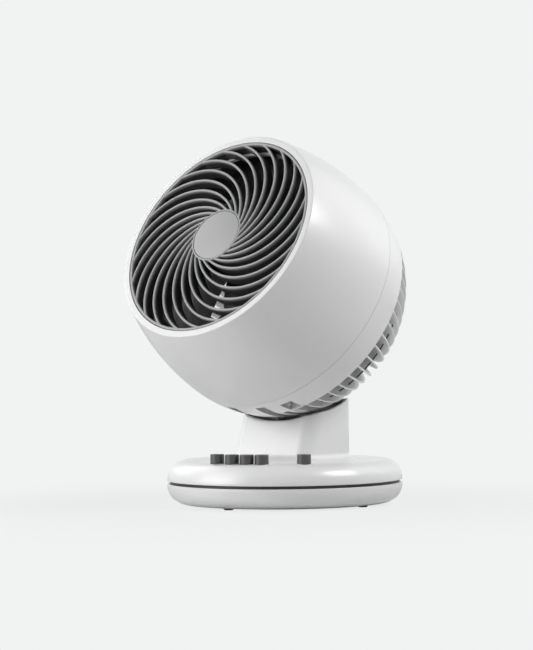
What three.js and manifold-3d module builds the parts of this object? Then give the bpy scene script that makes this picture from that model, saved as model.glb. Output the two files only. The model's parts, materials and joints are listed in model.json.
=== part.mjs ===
// Ball-shaped air circulator fan on a round base with five push buttons.
// Millimetres, +Z up, the front of the base faces -Y, the floor is Z = 0 and the
// swing axis is X = Y = 0. The fan is drawn with its head swung and tilted as it rests.
import * as THREE from 'three';
import { mergeVertices } from 'three/addons/utils/BufferGeometryUtils.js';
import Module from 'manifold-3d';

const wasm = await Module();
wasm.setup();

// ---- Clearances and walls
const GAP = 0.3;               // between pieces that rest on or pass through each other
const RUN_GAP = 1.5;           // round pieces that move past each other
const WALL = 2.5;              // moulded shells
const FINE = 36;               // facets round the large shells
const MEDIUM = 24;             // facets round discs and hubs
const COARSE = 12;             // facets round bores and buttons
const SMALL = 8;               // facets round screws and pins

// ---- Base
const BASE_RADIUS = 105;
const BASE_UNDERSIDE = 1.5;    // height of the flat underside
const BASE_EDGE = 17;          // how far the round sides stand out from the flat underside
const BASE_WIDEST = 18;        // height where the lower shell is widest
const GROOVE_LOW = 19.4;       // parting groove between the two shells
const GROOVE_HIGH = 22;
const GROOVE_DEPTH = 2.8;
const SPIGOT_TOP = 26;
const BASE_TOP = 40;
const TOP_EDGE = 17;           // how far the shoulder stands out from the flat top
const TOP_ROUNDING = 2.3;      // exponent of the shoulder's superellipse
const FOOT_RADIUS = 5;
const FOOT_CIRCLE = BASE_RADIUS - 22;
const FOOT_PHASE = -20;        // degrees from the front
const FOOT_COUNT = 4;
const BALLAST_RADIUS = 62;
const BALLAST_THICKNESS = 5;
const SCREW_CIRCLE = BASE_RADIUS - 21;
const SCREW_ANGLES = [58, 122, -58, -122];
const INLET_WIDTH = 18;
const INLET_HEIGHT = 9;
const INLET_LOW = 6.8;
const INLET_FRONT = BASE_RADIUS - 17;
const INLET_BACK = BASE_RADIUS - 5;

// ---- Screws
const SCREW_RADIUS = 1.5;
const SCREW_HEAD_RADIUS = 3.2;
const SCREW_HEAD = 2.4;
const SCREW_POINT = 1;
const POST_RADIUS = 5;
const CASE_SCREW_LENGTH = 15;
const PLATFORM_SCREW_LENGTH = 8;

// ---- Buttons
const BUTTON_RADIUS = 6.1;
const BUTTON_HEIGHT = 8;       // above the base
const BUTTON_CIRCLE = BASE_RADIUS - 18;
const BUTTON_ANGLES = [-26, -15.4, -6.1, 2.7, 26.6];    // degrees from the front
const BUTTON_TRAVEL = 2.5;
const BUTTON_FLANGE = 0.4;     // how far the flange stands out below the cover
const FLANGE_THICKNESS = 2.4;
const STEM_RADIUS = 2.5;
const STEM_LENGTH = 9;
const BOARD_HEIGHT = 14.7;
const BOARD_THICKNESS = 1.6;
const BOARD_HALF_ANGLE = 36;
const BOARD_INNER = BUTTON_CIRCLE - 13;
const BOARD_OUTER = BUTTON_CIRCLE + 10;
const SWITCH_HALF_WIDTH = 8;
const SWITCH_HEIGHT = 11.5;
const SWITCH_BESIDE = 6;       // degrees that the bank reaches past the outermost button

// ---- Swing drive
const TURNTABLE_RADIUS = 66;
const TURNTABLE_THICKNESS = 3.7;
const HUB_TUBE_RADIUS = 14.5;
const HUB_TUBE_BORE = 9;
const HUB_TUBE_LENGTH = 17;
const BEARING_INNER = 44;
const BEARING_OUTER = 58;
const BEARING_THICKNESS = 2.6;
const PLATFORM_RADIUS = 62;
const PLATFORM_THICKNESS = 3.1;
const PLATFORM_POST_CIRCLE = 52;
const GEAR_MODULE = 1.5;
const GEAR_TEETH = 40;
const PINION_TEETH = 12;
const GEAR_THICKNESS = 5;
const GEAR_HUB_RADIUS = 19;
const RETAINER_THICKNESS = 3;
const RETAINER_RADIUS = 20;
const SWING_MOTOR_RADIUS = 13;
const SWING_MOTOR_HEIGHT = 10;
const SWING_SHAFT_RADIUS = 2;
const SWING_REACH = 45;        // degrees each way from the front
const SWING_REST = -23.5;      // degrees, to the left of the base's front

// ---- Neck
const NECK_HALF_WIDTH = 43.5;
const NECK_BACK = 47.5;
const NECK_FRONT_AT_TOP = -12;
const NECK_FRONT_AT_FOOT = -24;
const NECK_SLOPE_TOP = 83;
const NECK_CORNER = 14;
const NECK_FLARE = 6;
const SADDLE_CLEARANCE = 2.8;
const SADDLE_COVER_DROP = 2.2; // cover below the rim
const SADDLE_COVER = 2;

// ---- Ball head, with s the distance behind the grille's front plane
const HEAD_REACH = 10.1;       // ball centre ahead of the swing axis
const HEAD_HEIGHT = 193.9;     // ball centre above the floor
const TILT_REST = 28.2;        // degrees above level
const BALL_RADIUS = 116.5;
const GRILLE_AHEAD = 90.8;     // grille plane ahead of the ball centre
const FRONT_ARC_RADIUS = 259;
const LIP_WIDTH = 5.66;        // from the opening's edge to the ball's front edge
const LIP_ROUND = 1.5;
const LEDGE_WIDTH = 5.4;       // the ledge that the grille lies on
const LEDGE_DEPTH = 12.4;
const LEDGE_THICKNESS = 2.8;
const SEAM_BEHIND = 5.6;       // seam behind the ball's widest plane
const VANE_START = 16.8;       // degrees behind the widest plane
const VANE_COUNT = 60;
const VANE_PHASE = -1.3;       // degrees
const VANE_THICKNESS = 1.8;
const VANE_DEPTH = 16;
const VANE_INNER_POINTS = 3;   // along a vane's inner edge
const VANE_SET_IN = 0.4;       // vane edges below the shell's surface
const HOOP_AT = 30;
const HOOP_WIDTH = 2.2;
const HOOP_DEPTH = 3;
const REAR_CAP_FROM = 65;
const KEEL_HALF_WIDTH = 33.5;
const KEEL_EDGE = 3;           // material left beside a gap in the keel
const KEEL_GAP_SHORT = 6;      // degrees that a keel gap ends before the rear cap
const SIDE_GAP_FROM = 8.2;     // degrees behind the widest plane
const SIDE_GAP_BESIDE = 1;     // from the keel's side
const SIDE_GAP_WIDTH = 11;
const ARM_SLOT_INNER = 11.3;
const ARM_SLOT_OUTER = 21.3;
const ARM_SLOT_FROM = 6.1;
const ARM_SLOT_TO = 104.8;

// ---- Grille and fan
const RIB_COUNT = 25;
const RIB_THICKNESS = 2;
const RIB_DEPTH = 12;
const RIB_SET_IN = 0.4;        // rib edges behind the ring and the hub
const GRILLE_RING_WIDTH = 2.4;
const GRILLE_DOME = 0.3;       // hub ahead of the ring
const GRILLE_HUB_RADIUS = 25.6;
const HUB_CAP_RADIUS = 23.8;
const HUB_CAP_THICKNESS = 2.4;
const RIB_CENTRE_X = 34.6;     // a rib's centre line is one circular arc
const RIB_CENTRE_Z = 24.5;
const RIB_ARC_RADIUS = 60.2;
const RIB_PHASE = -2.4;        // degrees
const DUCT_BESIDE_LEDGE = 1;   // duct's bore outside the ledge's
const DUCT_WALL = 2;
const DUCT_LENGTH = 38;
const DUCT_FLANGE = 8;
const BLADE_COUNT = 5;
const BLADE_CLEARANCE = 4;     // blade tips inside the duct
const BLADE_THICKNESS = 2.4;
const BLADE_ROOT_ANGLE = 48;
const BLADE_TIP_ANGLE = 24;
const BLADE_SPAN_ANGLE = 46;
const BLADE_PHASE = 12.7;      // degrees above the tilt axis, the first blade at rest
const BLADE_SWEEP = 0.28;      // of the span, at the tip
const BLADE_CAMBER = 3;
const BLADE_FLAT = 0.45;       // eases the screw surface's depth
const FAN_HUB_RADIUS = 24;
const FAN_HUB_FRONT = 22;
const FAN_HUB_DEPTH = 22;
const FAN_HUB_WALL = 2.5;
const FAN_HUB_CHAMFER = 2;
const FAN_BOSS_RADIUS = 7;     // round the motor's shaft
const SHAFT_RADIUS = 3;
const NUT_RADIUS = 7;
const NUT_THICKNESS = 6;
const MOTOR_RADIUS = 27;
const MOTOR_FRONT = 50;
const MOTOR_LENGTH = 28;
const MOTOR_NOSE_RADIUS = 12;
const MOTOR_NOSE = 4.5;
const MOTOR_SCREW_CIRCLE = 18;
const MOTOR_SCREW_BITE = 6;    // how far the screws reach into the motor
const MOTOR_SHAFT_SEAT = 10;   // depth of the shaft in the motor

// ---- Motor bracket and tilt joint
const BRACKET_PLATE_RADIUS = 34;
const BRACKET_THICKNESS = 3;
const BRACKET_EAR_CIRCLE = BALL_RADIUS - 10;
const BRACKET_ARM_WIDTH = 8;
const BRACKET_ARM_DEPTH = 5;
const EAR_RADIUS = 5;
const EAR_SCREW_BITE = 9;      // how far the screws reach into the front shell's bosses
const CHEEK_INNER = 24;
const CHEEK_THICKNESS = 3.5;
const CHEEK_HALF_HEIGHT = 9;
const AXLE_RADIUS = 3;
const AXLE_HEAD_RADIUS = 5.2;
const AXLE_HEAD = 3;
const YOKE_ARM_WIDTH = 7;
const YOKE_ARM_DEPTH = 10;
const YOKE_EYE_RADIUS = 7.5;
const YOKE_LEAN = 10.4;        // degrees behind straight down
const YOKE_FOOT = 4;
const YOKE_FOOT_HALF_WIDTH = 34;
const YOKE_FOOT_DEPTH = 19;
const YOKE_SCREW_OFFSET = 28;

// ---- Colours
const WHITE = { color: 0xf2f3f3, roughness: 0.18, metalness: 0 };
const SILVER = { color: 0xb4b6b8, roughness: 0.38, metalness: 0.2 };
const DARK = { color: 0x3c3e41, roughness: 0.45, metalness: 0 };
const BLACK = { color: 0x1c1d1f, roughness: 0.55, metalness: 0 };
const RUBBER = { color: 0x2b2b2c, roughness: 0.9, metalness: 0 };
const STEEL = { color: 0x9a9da0, roughness: 0.35, metalness: 0.9 };
const BOARD = { color: 0x2f6b46, roughness: 0.6, metalness: 0 };
const NYLON = { color: 0xdedbd0, roughness: 0.6, metalness: 0 };

const rad = THREE.MathUtils.degToRad;
const P = (x, y) => new THREE.Vector2(x, y);
const FACET_INSET = Math.cos(Math.PI / FINE);   // how far a flat facet lies inside its circle

// ---------------------------------------------------------------- solids
function solid(geometry) {
  const plain = new THREE.BufferGeometry();
  plain.setAttribute('position', geometry.getAttribute('position').clone());
  if (geometry.index) plain.setIndex(geometry.index.clone());
  const merged = mergeVertices(plain, 1e-4);
  const index = merged.index.array;
  const kept = [];
  for (let i = 0; i < index.length; i += 3) {
    const [a, b, c] = [index[i], index[i + 1], index[i + 2]];
    if (a !== b && b !== c && a !== c) kept.push(a, b, c);
  }
  const vertProperties = new Float32Array(merged.getAttribute('position').array);
  const triVerts = new Uint32Array(kept);
  return new wasm.Manifold(new wasm.Mesh({ numProp: 3, vertProperties, triVerts }));
}

function geometryOf(body) {
  const mesh = body.getMesh();
  const geometry = new THREE.BufferGeometry();
  geometry.setAttribute('position', new THREE.BufferAttribute(new Float32Array(mesh.vertProperties), 3));
  geometry.setIndex(new THREE.BufferAttribute(new Uint32Array(mesh.triVerts), 1));
  geometry.computeVertexNormals();
  return geometry;
}

function piece(name, body, look) {
  const mesh = new THREE.Mesh(geometryOf(body), new THREE.MeshStandardMaterial(look));
  mesh.name = name;
  return mesh;
}

function moved(geometry, x, y, z) {
  return geometry.translate(x, y, z);
}

function counterClockwise(points) {
  let area = 0;
  points.forEach((p, i) => {
    const q = points[(i + 1) % points.length];
    area += p.x * q.y - q.x * p.y;
  });
  return area > 0 ? points : [...points].reverse();
}

// A profile of (radius, height) points turned round Y. It closes on itself or ends on the axis.
function turned(points, facets) {
  const ordered = counterClockwise(points);
  const onAxis = ordered.findIndex((p, i) => {
    const next = ordered[(i + 1) % ordered.length];
    return p.x === 0 && next.x === 0;
  });
  let path;
  if (onAxis >= 0) {
    path = [...ordered.slice(onAxis + 1), ...ordered.slice(0, onAxis + 1)];
  } else {
    path = [...ordered, ordered[0]];
  }
  return new THREE.LatheGeometry(path, facets);
}

const upright = (points, facets) => solid(turned(points, facets).rotateX(Math.PI / 2));
const along = (points, facets) => solid(turned(points, facets));

function rectangle(rInner, rOuter, low, high) {
  return [P(rInner, low), P(rOuter, low), P(rOuter, high), P(rInner, high)];
}

const disc = (radius, low, high, facets) => upright(rectangle(0, radius, low, high), facets);
const ring = (inner, outer, low, high, facets) => upright(rectangle(inner, outer, low, high), facets);

function discAt(x, y, radius, low, high, facets = SMALL) {
  return disc(radius, low, high, facets).translate([x, y, 0]);
}

function box(x0, x1, y0, y1, z0, z1) {
  const geometry = new THREE.BoxGeometry(x1 - x0, y1 - y0, z1 - z0);
  return solid(moved(geometry, (x0 + x1) / 2, (y0 + y1) / 2, (z0 + z1) / 2));
}

// A flat outline in (x, y) raised from low to high.
function raised(points, low, high) {
  const shape = new THREE.Shape(counterClockwise(points));
  const geometry = new THREE.ExtrudeGeometry(shape, { depth: high - low, bevelEnabled: false });
  return solid(moved(geometry, 0, 0, low));
}

// A flat outline in (y, z) that runs along X from x0 to x1.
function sideways(points, x0, x1) {
  const shape = new THREE.Shape(counterClockwise(points));
  const geometry = new THREE.ExtrudeGeometry(shape, { depth: x1 - x0, bevelEnabled: false });
  geometry.applyMatrix4(new THREE.Matrix4().set(0, 0, 1, 0, 1, 0, 0, 0, 0, 1, 0, 0, 0, 0, 0, 1));
  return solid(moved(geometry, x0, 0, 0));
}

function polar(radius, degreesFromFront) {
  return [radius * Math.sin(rad(degreesFromFront)), -radius * Math.cos(rad(degreesFromFront))];
}

function steps(count, make) {
  return Array.from({ length: count }, (_, i) => make(i / (count - 1), i));
}

function join(bodies) {
  return bodies.reduce((whole, body) => whole.add(body));
}

// A screw that points up from its head, which starts at low.
function screwUp(low, length) {
  const neck = low + SCREW_HEAD;
  const points = [
    P(0, low), P(SCREW_HEAD_RADIUS, low), P(SCREW_HEAD_RADIUS, neck), P(SCREW_RADIUS, neck),
    P(SCREW_RADIUS, neck + length), P(0, neck + length + SCREW_POINT),
  ];
  return upright(points, SMALL);
}

// A screw that points down from its head, which ends at high.
function screwDown(high, length) {
  const neck = high - SCREW_HEAD;
  const points = [
    P(0, high), P(SCREW_HEAD_RADIUS, high), P(SCREW_HEAD_RADIUS, neck), P(SCREW_RADIUS, neck),
    P(SCREW_RADIUS, neck - length), P(0, neck - length - SCREW_POINT),
  ];
  return upright(points, SMALL);
}

// ---------------------------------------------------------------- base
const SCREW_HOLE = SCREW_RADIUS + GAP;
const HEAD_HOLE = SCREW_HEAD_RADIUS + 2 * GAP;
const FLOOR = BASE_UNDERSIDE + WALL;
const SPIGOT_RADIUS = BASE_RADIUS - GROOVE_DEPTH;
const BOSS_TOP = 12;
const BOSS_SEAT = 8;
const TURNTABLE_LOW = BASE_TOP - TURNTABLE_THICKNESS;
const BEARING_LOW = TURNTABLE_LOW - GAP - BEARING_THICKNESS;
const PLATFORM_LOW = BEARING_LOW - GAP - PLATFORM_THICKNESS;
const PLATFORM_POST_TOP = PLATFORM_LOW - GAP;
const BALLAST_LOW = FLOOR + GAP;
const BALLAST_HIGH = BALLAST_LOW + BALLAST_THICKNESS;
const OPENING_FOR_TURNTABLE = TURNTABLE_RADIUS + 2 * GAP;
const PLATFORM_POSTS = [45, 135, -45, -135];
const BOARD_POSTS = [-30, 30];

function lowerShell() {
  const quarter = (centre, reach, drop, count) => steps(count, (t) => {
    const a = t * Math.PI / 2;
    return P(centre + reach * Math.sin(a), BASE_WIDEST - drop * Math.cos(a));
  });
  const innerWide = SPIGOT_RADIUS - WALL;
  const innerFlat = innerWide - (BASE_WIDEST - FLOOR);
  const outer = quarter(BASE_RADIUS - BASE_EDGE, BASE_EDGE, BASE_WIDEST - BASE_UNDERSIDE, 6);
  const inner = quarter(innerFlat, innerWide - innerFlat, BASE_WIDEST - FLOOR, 4).reverse();
  const profile = [
    P(0, BASE_UNDERSIDE), ...outer, P(BASE_RADIUS, GROOVE_LOW), P(SPIGOT_RADIUS, GROOVE_LOW),
    P(SPIGOT_RADIUS, SPIGOT_TOP), P(innerWide, SPIGOT_TOP), ...inner, P(0, FLOOR),
  ];
  let body = upright(profile, FINE);
  for (const angle of PLATFORM_POSTS) {
    const [x, y] = polar(PLATFORM_POST_CIRCLE, angle);
    body = body.add(discAt(x, y, POST_RADIUS, FLOOR - 1, PLATFORM_POST_TOP));
    body = body.subtract(discAt(x, y, SCREW_HOLE, FLOOR + 10, PLATFORM_POST_TOP + 1));
  }
  for (const angle of BOARD_POSTS) {
    const [x, y] = polar(BUTTON_CIRCLE - 1, angle);
    body = body.add(discAt(x, y, POST_RADIUS - 1, FLOOR - 1, BOARD_HEIGHT - GAP));
  }
  for (const angle of SCREW_ANGLES) {
    const [x, y] = polar(SCREW_CIRCLE, angle);
    body = body.add(discAt(x, y, HEAD_HOLE + 2, FLOOR - 1, BOSS_TOP));
    body = body.subtract(discAt(x, y, HEAD_HOLE, BASE_UNDERSIDE - 1, BOSS_SEAT));
    body = body.subtract(discAt(x, y, SCREW_HOLE, BASE_UNDERSIDE - 1, BOSS_TOP + 1));
  }
  const inletHalf = INLET_WIDTH / 2 + GAP;
  const inletHole = box(-inletHalf, inletHalf, INLET_FRONT - 4, BASE_RADIUS + 5,
    INLET_LOW - GAP, INLET_LOW + INLET_HEIGHT + GAP);
  return body.subtract(inletHole);
}

function shoulder(flat, reach, low, high, count) {
  return steps(count, (t) => {
    const a = t * Math.PI / 2;
    const power = 2 / TOP_ROUNDING;
    const out = Math.cos(a) ** power;
    const up = Math.sin(a) ** power;
    return P(flat + reach * (t === 1 ? 0 : out), low + (high - low) * up);
  });
}

function upperShell() {
  const low = GROOVE_HIGH - 1;
  const inside = SPIGOT_RADIUS + GAP;
  const outer = shoulder(BASE_RADIUS - TOP_EDGE, TOP_EDGE, low, BASE_TOP, 7);
  outer[0].y = GROOVE_HIGH;
  const ceiling = BUTTON_CIRCLE + BUTTON_RADIUS + BUTTON_FLANGE + GAP;
  const profile = [
    P(inside, GROOVE_HIGH), ...outer, P(OPENING_FOR_TURNTABLE, BASE_TOP),
    P(OPENING_FOR_TURNTABLE, TURNTABLE_LOW - 2), P(OPENING_FOR_TURNTABLE + 2, TURNTABLE_LOW - 2),
    P(OPENING_FOR_TURNTABLE + 2, BASE_TOP - WALL), P(ceiling, BASE_TOP - WALL),
    P(inside - WALL / 2, (SPIGOT_TOP + BASE_TOP - WALL) / 2), P(inside, SPIGOT_TOP),
  ];
  let body = upright(profile, FINE);
  for (const angle of SCREW_ANGLES) {
    const [x, y] = polar(SCREW_CIRCLE, angle);
    body = body.add(discAt(x, y, POST_RADIUS, BOSS_TOP + GAP, BASE_TOP - 1));
    body = body.subtract(discAt(x, y, SCREW_HOLE, BOSS_TOP, BASE_TOP - 3 * WALL));
  }
  for (const angle of BUTTON_ANGLES) {
    const [x, y] = polar(BUTTON_CIRCLE, angle);
    body = body.subtract(discAt(x, y, BUTTON_RADIUS + GAP, BASE_TOP - 2 * WALL, BASE_TOP + 1, COARSE));
  }
  return body;
}

function ballast() {
  let body = disc(BALLAST_RADIUS, BALLAST_LOW, BALLAST_HIGH, MEDIUM);
  for (const angle of PLATFORM_POSTS) {
    const [x, y] = polar(PLATFORM_POST_CIRCLE, angle);
    body = body.subtract(discAt(x, y, POST_RADIUS + GAP, BALLAST_LOW - 1, BALLAST_HIGH + 1));
  }
  return body;
}

function powerInlet() {
  const half = INLET_WIDTH / 2;
  const high = INLET_LOW + INLET_HEIGHT;
  const shell = box(-half, half, INLET_FRONT, INLET_BACK, INLET_LOW, high);
  const socket = box(-half + 2, half - 2, INLET_FRONT + 3, INLET_BACK + 1, INLET_LOW + 1.5, high - 1.5);
  let body = shell.subtract(socket);
  for (const x of [-3.5, 3.5]) {
    const middle = (INLET_LOW + high) / 2;
    const pin = new THREE.CylinderGeometry(1.2, 1.2, 8, SMALL);
    body = body.add(solid(moved(pin, x, INLET_FRONT + 6, middle)));
  }
  return body;
}

function sector(inner, outer, halfAngle, low, high) {
  const arc = (radius) => steps(13, (t) => P(...polar(radius, halfAngle * (2 * t - 1))));
  return raised([...arc(inner), ...arc(outer).reverse()], low, high);
}

function controlBoard() {
  return sector(BOARD_INNER, BOARD_OUTER, BOARD_HALF_ANGLE, BOARD_HEIGHT, BOARD_HEIGHT + BOARD_THICKNESS);
}

const SWITCH_LOW = BOARD_HEIGHT + BOARD_THICKNESS + GAP;
const SWITCH_HIGH = SWITCH_LOW + SWITCH_HEIGHT;
const FLANGE_HIGH = BASE_TOP - WALL - GAP;
const FLANGE_LOW = FLANGE_HIGH - FLANGE_THICKNESS;
const STEM_LOW = FLANGE_LOW - STEM_LENGTH;

function switchBank() {
  const inner = BUTTON_CIRCLE - SWITCH_HALF_WIDTH;
  const outer = BUTTON_CIRCLE + SWITCH_HALF_WIDTH;
  const spread = Math.max(...BUTTON_ANGLES.map(Math.abs)) + SWITCH_BESIDE;
  let body = sector(inner, outer, spread, SWITCH_LOW, SWITCH_HIGH);
  for (const angle of BUTTON_ANGLES) {
    const [x, y] = polar(BUTTON_CIRCLE, angle);
    const floor = STEM_LOW - BUTTON_TRAVEL - 2 * GAP;
    body = body.subtract(discAt(x, y, STEM_RADIUS + GAP, floor, SWITCH_HIGH + 1));
  }
  return body;
}

function button(angle) {
  const [x, y] = polar(BUTTON_CIRCLE, angle);
  const high = BASE_TOP + BUTTON_HEIGHT;
  const profile = [
    P(0, STEM_LOW), P(STEM_RADIUS, STEM_LOW), P(STEM_RADIUS, FLANGE_LOW),
    P(BUTTON_RADIUS + BUTTON_FLANGE, FLANGE_LOW), P(BUTTON_RADIUS + BUTTON_FLANGE, FLANGE_HIGH),
    P(BUTTON_RADIUS, FLANGE_HIGH), P(BUTTON_RADIUS, high), P(0, high),
  ];
  return upright(profile, COARSE).translate([x, y, 0]);
}

function addBase(group) {
  group.add(piece('base_lower_shell', lowerShell(), WHITE));
  group.add(piece('base_upper_shell', upperShell(), WHITE));
  group.add(piece('base_ballast', ballast(), STEEL));
  for (let i = 0; i < FOOT_COUNT; i += 1) {
    const [x, y] = polar(FOOT_CIRCLE, FOOT_PHASE + i * 360 / FOOT_COUNT);
    const foot = discAt(x, y, FOOT_RADIUS, 0, BASE_UNDERSIDE - GAP, COARSE);
    group.add(piece(`foot_${i + 1}`, foot, RUBBER));
  }
  SCREW_ANGLES.forEach((angle, i) => {
    const [x, y] = polar(SCREW_CIRCLE, angle);
    const screw = screwUp(BOSS_SEAT - GAP - SCREW_HEAD, CASE_SCREW_LENGTH).translate([x, y, 0]);
    group.add(piece(`base_screw_${i + 1}`, screw, STEEL));
  });
  group.add(piece('power_inlet', powerInlet(), BLACK));
  group.add(piece('control_board', controlBoard(), BOARD));
  group.add(piece('switch_bank', switchBank(), BLACK));
  BUTTON_ANGLES.forEach((angle, i) => {
    group.add(piece(`button_${i + 1}`, button(angle), DARK));
  });
}

// ---------------------------------------------------------------- swing drive
const GEAR_HIGH = PLATFORM_LOW - 2 * GAP;
const GEAR_LOW = GEAR_HIGH - GEAR_THICKNESS;
const GEAR_RADIUS = GEAR_MODULE * GEAR_TEETH / 2;
const PINION_RADIUS = GEAR_MODULE * PINION_TEETH / 2;
const GEAR_DISTANCE = GEAR_RADIUS + PINION_RADIUS;
const ADDENDUM = 0.8 * GEAR_MODULE;
const DEDENDUM = 1.1 * GEAR_MODULE;
const TOOTH_FILL = 0.4;        // share of the pitch that a tooth fills at the pitch line
const TOOTH_ROOT = 1.3;        // a tooth's width at its root and tip, as shares of that at the pitch line
const TOOTH_TIP = 0.6;

// Points of one tooth whose middle is at the given angle from +Y, counter-clockwise.
function tooth(pitchRadius, teeth, middle) {
  const pitch = 2 * Math.PI / teeth;
  const half = TOOTH_FILL * pitch / 2;
  const at = (radius, angle) => P(-radius * Math.sin(angle), radius * Math.cos(angle));
  return [
    at(pitchRadius - DEDENDUM, middle - TOOTH_ROOT * half),
    at(pitchRadius + ADDENDUM, middle - TOOTH_TIP * half),
    at(pitchRadius + ADDENDUM, middle + TOOTH_TIP * half),
    at(pitchRadius - DEDENDUM, middle + TOOTH_ROOT * half),
  ];
}

function pinion() {
  const pitch = 2 * Math.PI / PINION_TEETH;
  const outline = [];
  for (let i = 0; i < PINION_TEETH; i += 1) {
    outline.push(...tooth(PINION_RADIUS, PINION_TEETH, Math.PI + (i + 0.5) * pitch));
  }
  const bore = disc(SWING_SHAFT_RADIUS + GAP, GEAR_LOW - 1, GEAR_HIGH + 1, SMALL);
  return raised(outline, GEAR_LOW, GEAR_HIGH).subtract(bore).translate([0, GEAR_DISTANCE, 0]);
}

function swingGear() {
  const pitch = 2 * Math.PI / GEAR_TEETH;
  const meshing = -rad(SWING_REST);
  const fromFront = rad(SWING_REACH) + 0.5 * pitch;
  const outline = [P(0, 0)];
  for (let k = -GEAR_TEETH / 2; k < GEAR_TEETH / 2; k += 1) {
    const middle = meshing + k * pitch;
    if (Math.abs(middle) <= fromFront) outline.push(...tooth(GEAR_RADIUS, GEAR_TEETH, middle));
  }
  const fan = raised(outline, GEAR_LOW, GEAR_HIGH);
  const hub = disc(GEAR_HUB_RADIUS, GEAR_LOW, GEAR_HIGH, COARSE);
  const bore = disc(HUB_TUBE_RADIUS + GAP, GEAR_LOW - 1, GEAR_HIGH + 1, COARSE);
  return fan.add(hub).subtract(bore);
}

function platform() {
  const high = PLATFORM_LOW + PLATFORM_THICKNESS;
  let body = ring(HUB_TUBE_RADIUS + 2 * GAP, PLATFORM_RADIUS, PLATFORM_LOW, high, MEDIUM);
  for (const angle of PLATFORM_POSTS) {
    const [x, y] = polar(PLATFORM_POST_CIRCLE, angle);
    body = body.subtract(discAt(x, y, HEAD_HOLE, high - SCREW_HEAD - GAP, high + 1));
    body = body.subtract(discAt(x, y, SCREW_HOLE, PLATFORM_LOW - 1, high + 1));
  }
  return body;
}

function swingMotor() {
  const low = BALLAST_HIGH + GAP;
  const high = low + SWING_MOTOR_HEIGHT;
  const profile = [
    P(0, low), P(SWING_MOTOR_RADIUS, low), P(SWING_MOTOR_RADIUS, high), P(SWING_SHAFT_RADIUS, high),
    P(SWING_SHAFT_RADIUS, GEAR_HIGH), P(0, GEAR_HIGH),
  ];
  return upright(profile, COARSE).translate([0, GEAR_DISTANCE, 0]);
}

function addSwingDrive(base, swinging) {
  const bearing = ring(BEARING_INNER, BEARING_OUTER, BEARING_LOW, BEARING_LOW + BEARING_THICKNESS, MEDIUM);
  base.add(piece('swing_platform', platform(), BLACK));
  base.add(piece('swing_bearing', bearing, NYLON));
  base.add(piece('swing_motor', swingMotor(), STEEL));
  base.add(piece('swing_pinion', pinion(), NYLON));
  PLATFORM_POSTS.forEach((angle, i) => {
    const [x, y] = polar(PLATFORM_POST_CIRCLE, angle);
    const high = PLATFORM_LOW + PLATFORM_THICKNESS;
    const screw = screwDown(high, PLATFORM_SCREW_LENGTH).translate([x, y, 0]);
    base.add(piece(`platform_screw_${i + 1}`, screw, STEEL));
  });
  swinging.add(piece('swing_gear', swingGear(), NYLON));
  const high = GEAR_LOW - GAP;
  const retainer = ring(HUB_TUBE_RADIUS + GAP, RETAINER_RADIUS, high - RETAINER_THICKNESS, high, COARSE);
  swinging.add(piece('swing_retainer', retainer, STEEL));
}

// ---------------------------------------------------------------- neck
// A rounded rectangle at one height, drawn outward by grow.
function neckSection(z, grow) {
  const slope = (NECK_FRONT_AT_TOP - NECK_FRONT_AT_FOOT) / (NECK_SLOPE_TOP - BASE_TOP - NECK_FLARE);
  const front = NECK_FRONT_AT_TOP - slope * (NECK_SLOPE_TOP - z) - grow;
  const back = NECK_BACK + grow;
  const side = NECK_HALF_WIDTH + grow;
  const corner = NECK_CORNER + grow;
  const centres = [
    [side - corner, back - corner, 0], [-side + corner, back - corner, 90],
    [-side + corner, front + corner, 180], [side - corner, front + corner, 270],
  ];
  return centres.flatMap(([x, y, start]) => steps(6, (t) => {
    const a = rad(start + 90 * t);
    return new THREE.Vector3(x + corner * Math.cos(a), y + corner * Math.sin(a), z);
  }));
}

// A closed solid through equal rings of points, lowest first.
function lofted(rings) {
  const count = rings[0].length;
  const points = rings.flat();
  const index = [];
  for (let level = 0; level + 1 < rings.length; level += 1) {
    for (let i = 0; i < count; i += 1) {
      const a = level * count + i;
      const b = level * count + (i + 1) % count;
      index.push(a, b, b + count, a, b + count, a + count);
    }
  }
  const top = (rings.length - 1) * count;
  for (let i = 1; i + 1 < count; i += 1) {
    index.push(0, i + 1, i);
    index.push(top, top + i, top + i + 1);
  }
  const geometry = new THREE.BufferGeometry().setFromPoints(points);
  geometry.setIndex(index);
  return solid(geometry);
}

function ball(radius) {
  const half = steps(FINE / 2 + 1, (t) => {
    const a = -Math.PI / 2 + Math.PI * t;
    return P(t === 0 || t === 1 ? 0 : radius * Math.cos(a), radius * Math.sin(a));
  });
  return along(half, FINE).rotate([90, 0, 0]).translate([0, -HEAD_REACH, HEAD_HEIGHT]);
}

const SADDLE_RADIUS = BALL_RADIUS + SADDLE_CLEARANCE;
const NECK_ABOVE = HEAD_HEIGHT - 94;   // the saddle cuts the column off below this height

function neckColumn() {
  const flared = steps(5, (t) => {
    const a = rad(90 * t);
    return neckSection(BASE_TOP + NECK_FLARE * (1 - Math.cos(a)), NECK_FLARE * (1 - Math.sin(a)));
  });
  return lofted([...flared, neckSection(NECK_ABOVE, 0)]);
}

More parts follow.
